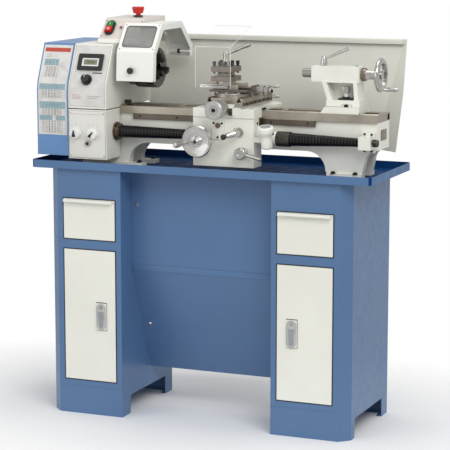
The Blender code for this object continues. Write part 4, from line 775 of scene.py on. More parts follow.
def cover_chart():
    """Plain feed chart on the end cover: headed tables of rules and numerals."""
    y = SLOPE_AT[0]
    x0, x1 = -0.5315, -0.4325
    Piece("chart_sheet", label_white, "end_cover").front_sheet(x0, x1, 0.888, 1.164).done()
    Piece("chart_red_band", label_red, "end_cover").block((x0 + 0.005, x1 - 0.006),
        (y - 0.0011, y - 0.0005), (1.146, 1.159), 0.0, LEANED).done()
    heads = Piece("chart_headings", label_head, "end_cover")
    rules = Piece("chart_rules", label_ink, "end_cover", "black_plastic")
    tables = ((1.029, 1.047, 1.003, x1 - 0.004), (0.97, 0.991, 0.948, x1 - 0.004),
        (0.933, 0.948, 0.893, x1 - 0.004))
    for number, (low, high, foot, right) in enumerate(tables):
        columns = 8
        for column in range(columns):
            a = x0 + 0.004 + column * (right - x0 - 0.004) / columns
            b = a + (right - x0 - 0.004) / columns - 0.001
            if number == 2 and column == 4:
                continue
            heads.front_sheet(a, b, low, high, 0.0011, 0.0005)
            rules.block((b + 0.0003, b + 0.0006), (-0.0009, -0.0005), (foot, low), 0.0)
        rows = round((low - foot) / 0.0075)
        for row in range(rows + 1):
            z = foot + row * (low - foot) / rows
            rules.block((x0 + 0.004, right), (-0.0009, -0.0005), (z, z + 0.0003), 0.0)
        words = "12  16  20  24  28  32  36"
        for row in range(rows):
            z = foot + (row + 0.5) * (low - foot) / rows
            numbers("chart_row_%d_%d" % (number + 1, row + 1), words, 0.0062,
                ((x0 + right) / 2, -0.0008, z), label_ink, "end_cover")
        numbers("chart_head_%d" % (number + 1), "1    2    3    4    5    6    7", 0.0062,
            ((x0 + right) / 2, -0.0013 if high < 1.03 else -0.0002, (low + high) / 2), label_ink,
            "end_cover")
    for column in range(4):
        a = x0 + 0.01 + column * 0.0125
        heads.block((a, a + 0.0115), (y - 0.0011, y - 0.0005), (1.101, 1.122), 0.0, LEANED)
        rules.block((a + 0.0118, a + 0.0121), (y - 0.0009, y - 0.0005), (1.06, 1.099), 0.0, LEANED)
    for row in range(6):
        z = 1.064 + row * 0.0066
        rules.block((x0 + 0.01, x0 + 0.06), (y - 0.0009, y - 0.0005), (z, z + 0.0003), 0.0, LEANED)
    for row in range(3):
        z = 1.129 + row * 0.0045
        rules.block((x0 + 0.012, x0 + 0.03), (y - 0.0009, y - 0.0005), (z, z + 0.0006), 0.0, LEANED)
    for row in range(5):
        numbers("chart_upper_row_%d" % (row + 1), "10  20  30  40", 0.006,
            (x0 + 0.035, y - 0.0008, 1.0673 + row * 0.0066), label_ink, "end_cover", LEANED)
    numbers("chart_upper_head", "1    2    3    4", 0.0066, (x0 + 0.035, y - 0.0013, 1.1115), label_ink,
        "end_cover", LEANED)
    for ring in range(3):
        circle = (x0 + 0.07 + ring * 0.01, 1.103 - ring * 0.0085)
        rules.ring("Y", circle, [(y - 0.0009, 0.0052), (y - 0.0009, 0.0048), (y - 0.0005, 0.0048),
            (y - 0.0005, 0.0052)], 24, LEANED)
    heads.done()
    rules.done()


def cover_details():
    Piece("end_cover_knob", black_plastic, "end_cover").turned("X", (0.165, 1.0),
        [(-0.536, 0.006), (-0.542, 0.006), (-0.544, 0.011), (-0.55, 0.0115), (-0.5515, 0.0095)],
        32).done()
    vents = Piece("end_cover_louvres", blue_cover, "end_cover")
    for row in range(6):
        z = 0.865 + row * 0.012
        vents.prism("Y", 0.2, 0.29, [(-0.536, z), (-0.5395, z + 0.001), (-0.536, z + 0.006)])
    vents.done()
    hinges = Piece("end_cover_hinges", bright, "machine")
    leaves = Piece("end_cover_hinge_leaves", bright, "end_cover")
    for z in (1.0, 1.115):
        hinges.turned("Z", (-0.4234, 0.3345),
            [(z, 0.0022), (z + 0.001, 0.003), (z + 0.039, 0.003), (z + 0.04, 0.0022)], 20)
        hinges.block((-0.4225, -0.402), (0.3302, 0.3313), (z, z + 0.04), 0.0003)
        leaves.block((-0.449, -0.4286), (0.3301, 0.3308), (z, z + 0.04), 0.0002)
        for up in (0.01, 0.03):
            hinges.turned("Y", (-0.4085, z + up), [(0.3312, 0.003), (0.3324, 0.0022), (0.3326, 0.0008)], 18)
            leaves.turned("Y", (-0.442, z + up), [(0.3307, 0.003), (0.3319, 0.0022), (0.3321, 0.0008)], 18)
    hinges.done()
    leaves.done()


def control_details():
    turn = (-BOX_SLOPE, "X", (-0.334, 0.113, 1.216))
    bezel = Piece("button_bezel", black_plastic, "machine")
    x, y, z = -0.334, 0.113, 1.216
    outer = rounded(x, z, 0.015, 0.0275, 0.0145, 10)
    inner = rounded(x, z, 0.011, 0.0208, 0.003, 10)
    bezel.frame(y - 0.006, y - 0.0002, outer, inner, turn)
    bezel.done()
    Piece("start_mark", bezel_white, "start_button").block((x - 0.0009, x + 0.0009),
        (y - 0.0114, y - 0.0108), (z + 0.0065, z + 0.0145), 0.0, turn).done()
    Piece("stop_mark", bezel_white, "stop_button").ring("Y", (x, z - 0.0105),
        [(y - 0.0134, 0.0046), (y - 0.0134, 0.0032), (y - 0.0128, 0.0032), (y - 0.0128, 0.0046)], 24,
        turn).done()
    Piece("lamp", red_plastic, "machine").turned("Y", (-0.2985, z + 0.004),
        [(y - 0.0002, 0.0036), (y - 0.003, 0.0034), (y - 0.0044, 0.002)], 24, turn).done()
    Piece("lamp_ring", bright, "machine").ring("Y", (-0.2985, z + 0.004),
        [(y - 0.0002, 0.0054), (y - 0.0016, 0.005), (y - 0.0016, 0.0038), (y - 0.0002, 0.0038)], 24,
        turn).done()
    Piece("stop_collar", black_plastic, "machine").ring("Z", (-0.279, 0.2),
        [(1.2488, 0.0155), (1.253, 0.015), (1.2532, 0.0092), (1.2488, 0.009)], 32).done()
    Piece("stop_skirt", red_plastic, "emergency_stop").ring("Z", (-0.279, 0.2),
        [(1.2594, 0.0132), (1.264, 0.0156), (1.2672, 0.0176), (1.269, 0.0176), (1.269, 0.012),
        (1.2598, 0.01)], 40).done()
    Piece("control_box_flange", sheet_white, "machine").block((-0.363, -0.228), (0.082, 0.087),
        (1.1715, 1.185), 0.0012).done()
    screws = Piece("control_box_screws", bright, "machine")
    for px in (-0.356, -0.2345):
        for height in (-0.031, 0.031):
            screws.turned("Y", (px, z + height), [(y - 0.0002, 0.0022), (y - 0.0012, 0.0018)], 20, turn)
    screws.done()


# ------------------------------------------------------------------ spindle and guard
def chuck_details():
    grooves = Piece("chuck_face_rings", steel_dark, "spindle")
    for radius in (0.031, 0.048):
        grooves.ring("X", AXIS, [(-0.1912, radius), (-0.1907, radius), (-0.1907, radius + 0.0012),
            (-0.1912, radius + 0.0012)], 64)
    grooves.done()
    Piece("chuck_plate", steel_dark, "spindle").ring("X", AXIS,
        [(-0.2794, 0.056), (-0.257, 0.056), (-0.257, 0.054), (-0.2794, 0.054)], 64).done()
    for index in range(3):
        teeth = Piece("jaw_teeth_%d" % (index + 1), black, "jaw_%d" % (index + 1))
        turn = (math.radians(120 * index + 12), "X", (0, AXIS_Y, AXIS_Z))
        for row in range(5):
            r = AXIS_Z + 0.032 + row * 0.0046
            x = -0.176 if row < 2 else -0.185
            teeth.block((x - 0.0004, x + 0.0006), (AXIS_Y - 0.007, AXIS_Y + 0.007), (r, r + 0.0018), 0.0,
                turn)
        teeth.done()


def guard_details():
    angle = math.atan2(0.0845, 0.0635)
    normal = Vector((0, -math.sin(angle), math.cos(angle)))
    low, high = Vector((0, 0.0365, 1.1495)), Vector((0, 0.1, 1.234))
    screws = Piece("guard_window_screws", bright, "chuck_guard")
    for x in (-0.269, -0.157):
        for share in (0.11, 0.94):
            spot = low.lerp(high, share) + Vector((x, 0, 0))
            screws.bar(spot - normal * 0.0002, spot + normal * 0.0014, 0.0024, 0.002)
    screws.done()
    rim = Piece("guard_window_rim", dark_grey, "chuck_guard")
    run = (high - low).length
    tilt = (-math.atan2(high.y - low.y, high.z - low.z), "X", (0.0, low.y, low.z))
    bottom, top = 0.17 * run, 0.9 * run
    middle = low.z + (bottom + top) / 2
    rim.frame(low.y - 0.001, low.y + 0.0006,
        rounded(-0.2135, middle, 0.0515, (top - bottom) / 2 + 0.001, 0.011),
        rounded(-0.2135, middle, 0.0499, (top - bottom) / 2 - 0.0006, 0.01), tilt)
    rim.done()
    corners = Piece("guard_window_corners", sheet_white, "chuck_guard")
    for sx in (-1, 1):
        for edge in (-1, 1):
            x, z = -0.2135 + sx * 0.0499, middle + edge * ((top - bottom) / 2 - 0.0006)
            outline = []
            for step in range(7):
                angle = math.radians(90 * step / 6)
                across, up = 0.01 * (1 - math.cos(angle)), 0.01 * (1 - math.sin(angle))
                outline.append((x - sx * across, z - edge * up))
            outline.append((x + sx * 0.001, z + edge * 0.001))
            corners.prism("Y", low.y + 0.0003, low.y + 0.0012, outline, tilt)
    corners.done()
    Piece("guard_knob", black_plastic, "chuck_guard").turned("Y", (-0.225, 1.093),
        [(0.0335, 0.005), (0.029, 0.006), (0.027, 0.0098), (0.0205, 0.01), (0.0185, 0.008)],
        32).done()
    Piece("guard_hinge_clamp", black, "chuck_guard").block((-0.193, -0.186), (0.307, 0.319),
        (1.129, 1.143), 0.0008).done()
    Piece("guard_edge", sheet_white, "chuck_guard").prism("X", -0.276, -0.151,
        [(0.031, 1.06), (0.0318, 1.064), (0.036, 1.064), (0.0352, 1.06)]).done()


# ------------------------------------------------------------------ leadscrew and bed
def spiral_cover(name, node, start, end, radius_start, radius_end, steps, near, far):
    """Coiled strip: overlapping cone steps between its fixed end and the carriage."""
    cover = Piece(name, spiral, near)
    length = (end - start) / steps
    outer = []
    for index in range(steps):
        left = start + index * length
        a = radius_start + (radius_end - radius_start) * index / steps
        b = radius_start + (radius_end - radius_start) * (index + 1) / steps
        outer += [(left, a), (left + length * 0.72, a + (b - a) * 0.7 - 0.0002),
            (left + length * 0.84, a + (b - a) * 0.8 - 0.0009), (left + length * 0.97, b - 0.0009)]
    outer += [(end, radius_end), (end, 0.0118), (start, 0.0118)]
    cover.ring("X", LEADSCREW, outer, 40)
    points = [tuple(Vector((x, SCREW_Y, SCREW_Z)) - SHIFT) for x in (start, end)]
    made = cover.done(25, (near, far, *points))
    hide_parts(node)


def leadscrew_details():
    Piece("screw_flange", flange_metal, "machine").ring("X", LEADSCREW,
        [(-0.2962, 0.0288), (-0.2905, 0.0288), (-0.2895, 0.0252), (-0.2806, 0.0246), (-0.2806, 0.0198),
        (-0.2962, 0.0198)], 48).done()
    Piece("screw_cover_collar", blackened("collar_brown", (0.06, 0.05, 0.046)), "carriage",
        "black_oxide").ring("X", LEADSCREW, [(0.243, 0.0228), (0.286, 0.0228), (0.286, 0.019),
        (0.2857, 0.019), (0.2857, 0.0216), (0.243, 0.0216)], 48).done()
    Piece("screw_end_nut", black, "leadscrew").turned("X", LEADSCREW,
        [(0.5448, 0.0118), (0.547, 0.0124), (0.556, 0.0124), (0.5578, 0.0112)], 6).turned("X", LEADSCREW,
        [(0.5578, 0.0066), (0.561, 0.006)], 24).done()


def bed_details():
    bolts = Piece("rack_screws", black, "machine")
    for x in (-0.226, -0.1, 0.212, 0.33):
        bolts.turned("Y", (x, 0.947), [(0.0946, 0.0034), (0.0938, 0.0034), (0.0938, 0.0018),
            (0.0942, 0.0016)], 24)
    bolts.done()
    feet = Piece("bed_foot_bolts", black, "machine")
    for x, y in ((-0.236, 0.11), (-0.236, 0.21), (0.48, 0.0985), (0.48, 0.215), (0.41, 0.0985)):
        feet.turned("Z", (x, y), [(0.8, 0.0088), (0.8016, 0.0088)], 32)
        feet.turned("Z", (x, y), [(0.8016, 0.0062), (0.806, 0.0062), (0.8066, 0.0056)], 6)
    feet.done()
    Piece("bed_end_boss", collar_metal, "machine").block((0.5465, 0.5482), (0.135, 0.19),
        (0.9, 0.932), 0.0006).done()
    Piece("way_end_stop", white, "machine").block((0.538, 0.547), (0.1985, 0.217), (0.956, 0.977),
        0.001).done()
    Piece("chuck_way_block", black, "machine").block((-0.28, -0.262), (0.0965, 0.112), (0.984, 0.996),
        0.001).done()


# ------------------------------------------------------------------ carriage
def carriage_details():
    Piece("apron_plate_boss", flange_metal, "carriage").turned("Y", (0.066, 0.937),
        [(0.0268, 0.008), (0.0225, 0.0078), (0.0215, 0.0066), (0.0215, 0.004), (0.0228, 0.0038)],
        36).done()
    wiper = Piece("saddle_wipers", black, "carriage")
    for x0, x1 in ((-0.02, -0.0168), (0.1818, 0.185)):
        wiper.block((x0, x1), (0.0925, 0.126), (0.9824, 0.988), 0.0006)
    wiper.done()
    Piece("saddle_strap", flange_metal, "carriage").block((0.169, 0.185), (0.07, 0.093),
        (0.936, 0.96), 0.0012).done()
    Piece("saddle_joint_line", dark_grey, "carriage").block((-0.0172, 0.1822), (0.0293, 0.03),
        (0.9597, 0.9601), 0.0).done()
    oiler = Piece("saddle_oilers", bright, "carriage")
    for x in (0.005, 0.165):
        oiler.turned("Z", (x, 0.06), [(0.9878, 0.0036), (0.9892, 0.0034), (0.9898, 0.0018)], 20)
    oiler.done()


def wheel_details():
    Piece("apron_wheel_hub", bright, "apron_handwheel").turned("Y", APRON_WHEEL,
        [(-0.0158, 0.0105), (-0.0196, 0.0098), (-0.0206, 0.0086), (-0.0206, 0.0048), (-0.019, 0.0046)],
        40).done()
    grip_at = (APRON_WHEEL[0] - 0.039, APRON_WHEEL[1] - 0.006)
    Piece("apron_wheel_grip", bright, "apron_handwheel").turned("Y", grip_at,
        [(-0.015, 0.0056), (-0.019, 0.006), (-0.02, 0.0054), (-0.029, 0.0062), (-0.048, 0.008),
        (-0.064, 0.0083), (-0.076, 0.0078), (-0.0815, 0.006), (-0.0828, 0.0034)], 32).done()
    Piece("cross_wheel_cap", cross_metal, "cross_slide_handwheel").turned("Y", CROSS_WHEEL,
        [(-0.0478, 0.025), (-0.0486, 0.024), (-0.0486, 0.01), (-0.0474, 0.0092)], 64).done()
    Piece("cross_wheel_ring", label_ink, "cross_slide_handwheel", "polished_steel").ring("Y", CROSS_WHEEL,
        [(-0.0487, 0.013), (-0.049, 0.0128), (-0.049, 0.0122), (-0.0487, 0.012)], 48).done()
    Piece("cross_screw_plate", steel_dark, "carriage").block((0.105, 0.1185), (0.0122, 0.015),
        (0.9695, 0.9918), 0.0006).done()
    x, z = CROSS_WHEEL
    ticks = Piece("cross_dial_marks", label_ink, "cross_slide_handwheel")
    for step, turn in around(50, "Y", (x, 0, z)):
        ticks.block((x - 0.00025, x + 0.00025), (-0.0115, -0.0085 if step % 5 else -0.006),
            (z + 0.0252, z + 0.02585), 0.0, turn)
    ticks.done()
    dial = Piece("cross_dial_knurl", cross_metal, "cross_slide_handwheel")
    for _, turn in around(60, "Y", (x, 0, z)):
        dial.block((x - 0.0006, x + 0.0006), (-0.044, -0.015), (z + 0.0274, z + 0.0284), 0.0, turn)
    dial.done()
    top_ticks = Piece("top_dial_marks", label_ink, "top_slide_handwheel")
    for step, turn in around(40, "X", (0, *TOP_SCREW)):
        top_ticks.block((0.15, 0.156 if step % 5 else 0.158),
            (TOP_SCREW[0] - 0.0002, TOP_SCREW[0] + 0.0002), (TOP_SCREW[1] + 0.0136, TOP_SCREW[1] + 0.0142),
            0.0, turn)
    top_ticks.done()
    grips = Piece("top_wheel_grips", bright, "top_slide_handwheel")
    for side in (-1, 1):
        at = (TOP_SCREW[0], TOP_SCREW[1] + side * 0.015)
        grips.turned("X", at, [(0.1985, 0.0026), (0.202, 0.0043), (0.206, 0.0047), (0.22, 0.004),
            (0.2234, 0.0026)], 24)
    grips.done()


def cross_details():
    Piece("cross_gib_strip", steel_dark, "cross_slide").block((0.1412, 0.1432), (0.037, 0.284),
        (0.996, 1.006), 0.0005).done()
    clamp = Piece("compound_clamp_screws", bright, "compound")
    for x, y in ((0.048, 0.068), (0.0825, 0.056), (0.117, 0.068)):
        clamp.turned("Z", (x, y), [(1.0308, 0.0052), (1.035, 0.0052)], 6)
    clamp.done()
    scale = Piece("swivel_scale", label_ink, "compound")
    for step in range(-12, 13):
        turn = (math.radians(5 * step), "Z", (*SWIVEL, 0))
        tall = step % 2 == 0
        scale.block((SWIVEL[0] - 0.0002, SWIVEL[0] + 0.0002), (SWIVEL[1] - 0.0563, SWIVEL[1] - 0.0558),
            (1.0235 if tall else 1.0258, 1.03), 0.0, turn)
    scale.done()
    Piece("top_slide_front_plate", bright, "top_slide").block((-0.0185, 0.083), (0.0935, 0.0952),
        (1.0495, 1.0545), 0.0005).done()


def post_details():
    heads = Piece("tool_screws", black, "tool_post")
    x, y = TOOL_POST
    for dx in (-0.0275, -0.0095, 0.0095, 0.0275):
        for dy in (-0.0275, 0.0275):
            spot = (x + dx, y + dy)
            heads.turned("Z", spot, [(1.1078, 0.005), (1.11, 0.005), (1.1105, 0.0042),
                (1.113, 0.0042)], 20)
            heads.block((spot[0] - 0.0042, spot[0] + 0.0042), (spot[1] - 0.0042, spot[1] + 0.0042),
                (1.113, 1.124), 0.0007)
            heads.turned("Z", spot, [(1.0922, 0.0034), (1.087, 0.0034), (1.0862, 0.0026)], 16)
    heads.done()
    plates = Piece("tool_post_bevels", post_steel, "tool_post")
    for low, high in ((1.0634, 1.0785), (1.092, 1.1085)):
        square_ring(plates, low, high, (x, y), 0.0354, 0.033)
    plates.done()
    Piece("tool_post_lever_hub", bright, "tool_post_lever").ring("Z", (x, y),
        [(1.1086, 0.0112), (1.119, 0.0114), (1.121, 0.0106), (1.142, 0.0092), (1.148, 0.0086),
        (1.151, 0.006), (1.1505, 0.0058), (1.14, 0.008), (1.1086, 0.0104)], 40).done()
    Piece("tool_post_lever_sleeve", bright, "tool_post_lever").bar((x + 0.014, y, 1.1492),
        (x + 0.079, y, 1.1769), 0.0042, 0.007, 24).done()


def square_ring(piece, low, high, centre, outer, inner):
    """Square ring with chamfered rims, standing on Z."""
    x, y = centre
    chamfer = 0.0008
    corners = ((1, 1), (-1, 1), (-1, -1), (1, -1))
    sections = ((outer - chamfer, low), (outer, low + chamfer), (outer, high - chamfer),
        (outer - chamfer, high), (inner, high), (inner, low))
    piece.skin([[(x + sx * size, y + sy * size, z) for sx, sy in corners] for size, z in sections], True)


def shield_details():
    edges = Piece("shield_edges", shield_edge, "top_slide")
    for x in (-0.0318, 0.084):
        edges.block((x, x + 0.0009), (0.0795, 0.0826), (1.043, 1.168), 0.0)
    edges.bar((-0.0318, 0.0812, 1.169), (0.0848, 0.0812, 1.169), 0.0008, 0.0008, 10)
    edges.bar((-0.0318, 0.2492, 1.224), (0.0848, 0.2492, 1.224), 0.0007, 0.0007, 10)
    edges.bar((0.0844, 0.0812, 1.169), (0.0844, 0.2492, 1.224), 0.0006, 0.0006, 10)
    edges.done()
    Piece("shield_strip", bright, "top_slide").block((-0.015, 0.076), (0.0786, 0.08), (1.0435, 1.0515),
        0.0004).done()


def lever_details():
    Piece("half_nut_ball", black_plastic,
        "half_nut_lever").ball((0.133 - 0.028, -0.024, 0.918 - 0.0095), 0.0088).done()
    Piece("half_nut_collar", bright, "carriage").ring("Y", (0.133, 0.918),
        [(0.0262, 0.015), (0.03, 0.0155), (0.0302, 0.0116), (0.0262, 0.0114)], 40).done()
    ribs = Piece("half_nut_pins", bright, "half_nut_lever")
    for x in (0.127, 0.139):
        ribs.turned("Z", (x, 0.01), [(0.926, 0.0022), (0.933, 0.0022), (0.9336, 0.0014)], 16)
    ribs.done()
    Piece("half_nut_sleeve", bright, "half_nut_lever").bar((0.133, -0.001, 0.918),
        (0.1125, -0.019, 0.911), 0.01, 0.0078, 28).done()
    Piece("feed_lever_sleeve", bright, "feed_lever").bar((0.157, 0.0138, 0.8545), (0.209, 0.006, 0.8442),
        0.0048, 0.0066, 24).done()
    Piece("feed_lever_cap", bright, "feed_lever").turned("Y", (0.145, 0.856),
        [(0.0042, 0.015), (0.003, 0.014), (0.003, 0.006), (0.0038, 0.005)], 48).done()
    Piece("feed_lever_pin", bright, "feed_lever").turned("Z", (0.164, 0.013),
        [(0.856, 0.0044), (0.866, 0.004), (0.874, 0.0012)], 20).done()


def thread_dial_details():
    turn = (math.radians(12), "X", (0.2255, 0.023, 0.9))
    centre = (0.2255, 0.023)
    Piece("thread_dial_body", white, "carriage").ring("Z", centre,
        [(0.8738, 0.014), (0.876, 0.0166), (0.88, 0.0176), (0.893, 0.0172), (0.903, 0.0156),
        (0.908, 0.0154), (0.915, 0.0166), (0.923, 0.023), (0.9262, 0.0242), (0.937, 0.0242),
        (0.94, 0.0234), (0.9422, 0.0205), (0.9418, 0.017), (0.93, 0.017), (0.89, 0.012)], 56,
        turn).done(40)
    Piece("thread_dial_face", grey_plastic, "carriage").turned("Z", centre,
        [(0.9395, 0.0172), (0.9422, 0.0168)], 48, turn).done()
    marks = Piece("thread_dial_marks", label_ink, "carriage")
    for step in range(8):
        spin = (math.pi * step / 4, "Z", (*centre, 0))
        marks.block((centre[0] - 0.0004, centre[0] + 0.0004), (centre[1] + 0.009, centre[1] + 0.0158),
            (0.942, 0.9426), 0.0, [spin, turn])
    marks.done()


# ------------------------------------------------------------------ tailstock and splash
def tail_details():
    Piece("tailstock_end_cap", white, "tailstock").block((0.474, 0.4776), (0.132, 0.188),
        (1.069, 1.118), 0.0012).done()
    Piece("tailstock_clamp_plate", black, "tailstock").block((0.413, 0.46), (0.128, 0.166),
        (1.0188, 1.023), 0.0008).turned("Z", (0.433, 0.148), [(1.023, 0.0105), (1.027, 0.0105)],
        24).done()
    Piece("tailstock_clamp_bolt", bright, "tailstock").block((0.424, 0.442), (0.1388, 0.1572),
        (1.0385, 1.0575), 0.0022).done()
    joint = Piece("tailstock_joint_line", dark_grey, "tailstock")
    joint.block((0.38, 0.43), (0.1153, 0.1162), (0.9982, 0.999), 0.0)
    joint.block((0.43, 0.4308), (0.1153, 0.1162), (0.9985, 1.006), 0.0)
    joint.block((0.43, 0.462), (0.1153, 0.1162), (1.0052, 1.006), 0.0)
    joint.block((0.4612, 0.462), (0.1153, 0.1162), (0.9955, 1.006), 0.0)
    joint.block((0.4612, 0.486), (0.1153, 0.1162), (0.9955, 0.9963), 0.0)
    joint.done()
    Piece("quill_lock_hub", bright, "quill_lock_lever").ring("Z", (0.357, AXIS_Y),
        [(1.1174, 0.0102), (1.124, 0.0104), (1.128, 0.0098), (1.14, 0.0076), (1.144, 0.007),
        (1.146, 0.0052), (1.1455, 0.0048), (1.13, 0.006), (1.1174, 0.0088)], 40).done()
    Piece("quill_lock_sleeve", bright, "quill_lock_lever").bar((0.367, AXIS_Y, 1.14),
        (0.433, AXIS_Y, 1.1694), 0.0036, 0.0064, 24).done()
    Piece("tailstock_oiler", bright, "tailstock").turned("Z", (0.462, AXIS_Y),
        [(1.1168, 0.005), (1.1196, 0.0048), (1.1206, 0.0026)], 24).done()
    Piece("quill_screw_collar", collar_metal, "quill_handwheel").ring("X", AXIS,
        [(0.478, 0.019), (0.48, 0.0196), (0.49, 0.0196), (0.492, 0.019), (0.492, 0.017),
        (0.478, 0.017)], 48).done()
    ticks = Piece("quill_dial_marks", label_ink, "quill_handwheel")
    for step, turn in around(40, "X", (0, *AXIS)):
        ticks.block((0.4825 if step % 5 else 0.481, 0.488), (AXIS_Y - 0.0002, AXIS_Y + 0.0002),
            (AXIS_Z + 0.01955, AXIS_Z + 0.0199), 0.0, turn)
    ticks.done()
    rim = Piece("quill_wheel_rim", rim_metal, "quill_handwheel")
    profile = []
    for step in range(16):
        angle = 2 * math.pi * step / 16
        profile.append((0.537 + 0.0078 * math.cos(angle), 0.0434 + 0.0078 * math.sin(angle)))
    rim.ring("X", AXIS, profile, 64)
    rim.done(60)
    scale = Piece("quill_scale", label_ink, "quill")
    for step in range(5):
        x = 0.2975 + step * 0.005
        scale.ring("X", AXIS, [(x, 0.01395), (x + 0.0004, 0.01395), (x + 0.0004, 0.01415), (x, 0.01415)],
            48)
    scale.done()


def splash_details():
    Piece("splash_hem", splash_paint, "machine").prism("X", -0.33, 0.538,
        [(0.3778, 1.171), (0.3768, 1.1726), (0.3768, 1.1858), (0.379, 1.1874), (0.3792, 1.171)]).done()
    # Dark strip under the hem: painted shadow that the hem casts on the splash panel.
    Piece("splash_hem_shadow", dark_grey, "machine").block((-0.329, 0.536), (0.3785, 0.3898),
        (1.1698, 1.1709), 0.0).done()
    screws = Piece("splash_screws", bright, "machine")
    for x in (-0.135, 0.345):
        for z in (0.86, 0.89):
            screws.turned("Y", (x, z), [(0.387, 0.004), (0.3854, 0.0034), (0.385, 0.0016)], 24)
    screws.done()


def motor_details():
    fins = Piece("motor_fins", motor_paint, "machine")
    for _, turn in around(28, "X", (0, *MOTOR)):
        if math.cos(turn[0] - math.pi / 2) < -0.55:
            continue
        fins.block((-0.405, -0.255), (MOTOR[0] - 0.001, MOTOR[0] + 0.001),
            (MOTOR[1] + 0.047, MOTOR[1] + 0.05), 0.0004, turn)
    fins.done()
    Piece("motor_terminal_box", motor_paint, "machine").block((-0.36, -0.29), (0.262, 0.31),
        (0.949, 0.964), 0.002).done()


def back_screw(piece, x, face, z, radius=0.004, height=0.0022):
    """Pan-head screw with a cross recess, on a face that looks backwards."""
    piece.turned("Y", (x, z), [(face, radius), (face + height * 0.6, radius * 0.92),
        (face + height, radius * 0.45), (face + height * 0.75, radius * 0.3)], 20)


def cabinet_backs():
    for side, word in ((-1, "left"), (1, "right")):
        panel = Piece(word + "_back_panel", blue, "machine")
        screws = Piece(word + "_back_screws", bright, "machine")
        low_x, high_x = sorted((side * 0.274, side * 0.476))
        panel.block((low_x, high_x), (CABINET_BACK - 0.0002, CABINET_BACK + 0.001), (0.135, 0.745), 0.0004)
        for row in range(7):
            z = 0.648 + row * 0.0125
            panel.prism("X", side * 0.375 - 0.055, side * 0.375 + 0.055,
                [(CABINET_BACK + 0.0008, z), (CABINET_BACK + 0.0046, z + 0.0008),
                (CABINET_BACK + 0.004, z + 0.0018), (CABINET_BACK + 0.0008, z + 0.0072)])
        for z in (0.15, 0.44, 0.73):
            for x in (low_x + 0.012, high_x - 0.012):
                back_screw(screws, x, CABINET_BACK + 0.0009, z)
        panel.done()
        screws.done()
        seam = Piece(word + "_back_seam", dark_grey, "machine")
        edge = ((low_x + high_x) / 2, 0.44)
        seam.frame(CABINET_BACK + 0.00005, CABINET_BACK + 0.0002, rounded(*edge, 0.1019, 0.3059, 0.001),
            rounded(*edge, 0.1009, 0.3049, 0.0008))
        seam.done()


def splash_back():
    welds = Piece("splash_weld_marks", splash_paint, "machine")
    for x in (-0.135, 0.345):
        for z in (0.86, 0.89):
            welds.ring("Y", (x, z), [(SPLASH_BACK - 0.0001, 0.006), (SPLASH_BACK + 0.0001, 0.0056),
                (SPLASH_BACK + 0.0001, 0.0046), (SPLASH_BACK - 0.0001, 0.0042)], 24)
    welds.done()
    feet = Piece("splash_foot_screws", bright, "machine")
    for x in (-0.143, -0.127, 0.337, 0.353):
        feet.turned("Y", (x, 0.798), [(0.3899, 0.0036), (0.3912, 0.0033), (0.3916, 0.0018),
            (0.3908, 0.0012)], 20)
    feet.done()


def headstock_back():
    vents = Piece("headstock_back_plate", white, "machine")
    vents.block((-0.396, -0.326), (HEAD_BACK - 0.0002, HEAD_BACK + 0.0012), (1.005, 1.095), 0.0005)
    for row in range(5):
        z = 1.024 + row * 0.011
        vents.prism("X", -0.385, -0.337, [(HEAD_BACK + 0.001, z), (HEAD_BACK + 0.0044, z + 0.0008),
            (HEAD_BACK + 0.0038, z + 0.0016), (HEAD_BACK + 0.001, z + 0.0064)])
    vents.done()
    screws = Piece("headstock_back_screws", bright, "machine")
    for x in (-0.391, -0.331):
        for z in (1.01, 1.09):
            back_screw(screws, x, HEAD_BACK + 0.0011, z, 0.0032, 0.0018)
    screws.done()
    Piece("headstock_back_plug", black_plastic, "machine").turned("Y", (-0.361, 0.988),
        [(HEAD_BACK - 0.0002, 0.0085), (HEAD_BACK + 0.003, 0.0085), (HEAD_BACK + 0.0036, 0.0062),
        (HEAD_BACK + 0.006, 0.0056), (HEAD_BACK + 0.0052, 0.003)], 6).done()
    cover = Piece("end_cover_back_screws", bright, "end_cover")
    for z in (0.845, 1.005, 1.15):
        back_screw(cover, -0.524, HEAD_BACK - 0.0001, z, 0.0036, 0.002)
    cover.done()


def motor_end():
    end_face = -0.23
    shroud = Piece("motor_fan_shroud", motor_paint, "machine")
    shroud.ring("X", MOTOR, [(end_face - 0.016, 0.0484), (end_face - 0.003, 0.0452),
        (end_face + 0.0016, 0.0425), (end_face + 0.0016, 0.0385), (end_face - 0.0004, 0.0385),
        (end_face - 0.012, 0.04)], 48)
    shroud.ring("X", MOTOR, [(end_face - 0.0004, 0.015), (end_face + 0.0018, 0.0146),
        (end_face + 0.0018, 0.011), (end_face - 0.0004, 0.0106)], 32)
    for step in range(12):
        angle = 2 * math.pi * step / 12
        spoke = Vector((0, math.cos(angle), math.sin(angle)))
        hub = Vector((end_face + 0.0006, *MOTOR))
        shroud.bar(hub + spoke * 0.014, hub + spoke * 0.04, 0.0012, 0.0012, 8)
    shroud.done()


socket_screws()
stand_details()
head_labels()
knob_arrows()
display_details()
cover_chart()
cover_details()
control_details()
chuck_details()
guard_details()
spiral_cover("spiral_cover_left", "leadscrew_cover_left", -0.28, -0.0195, 0.0195, 0.014, 26, "machine",
    "carriage")
spiral_cover("spiral_cover_right", "leadscrew_cover_right", 0.2865, 0.4985, 0.02, 0.013, 24, "carriage",
    "machine")
leadscrew_details()
bed_details()
carriage_details()
wheel_details()
cross_details()
post_details()
shield_details()
lever_details()
thread_dial_details()
tail_details()
splash_details()
motor_details()
cabinet_backs()
splash_back()
headstock_back()
motor_end()


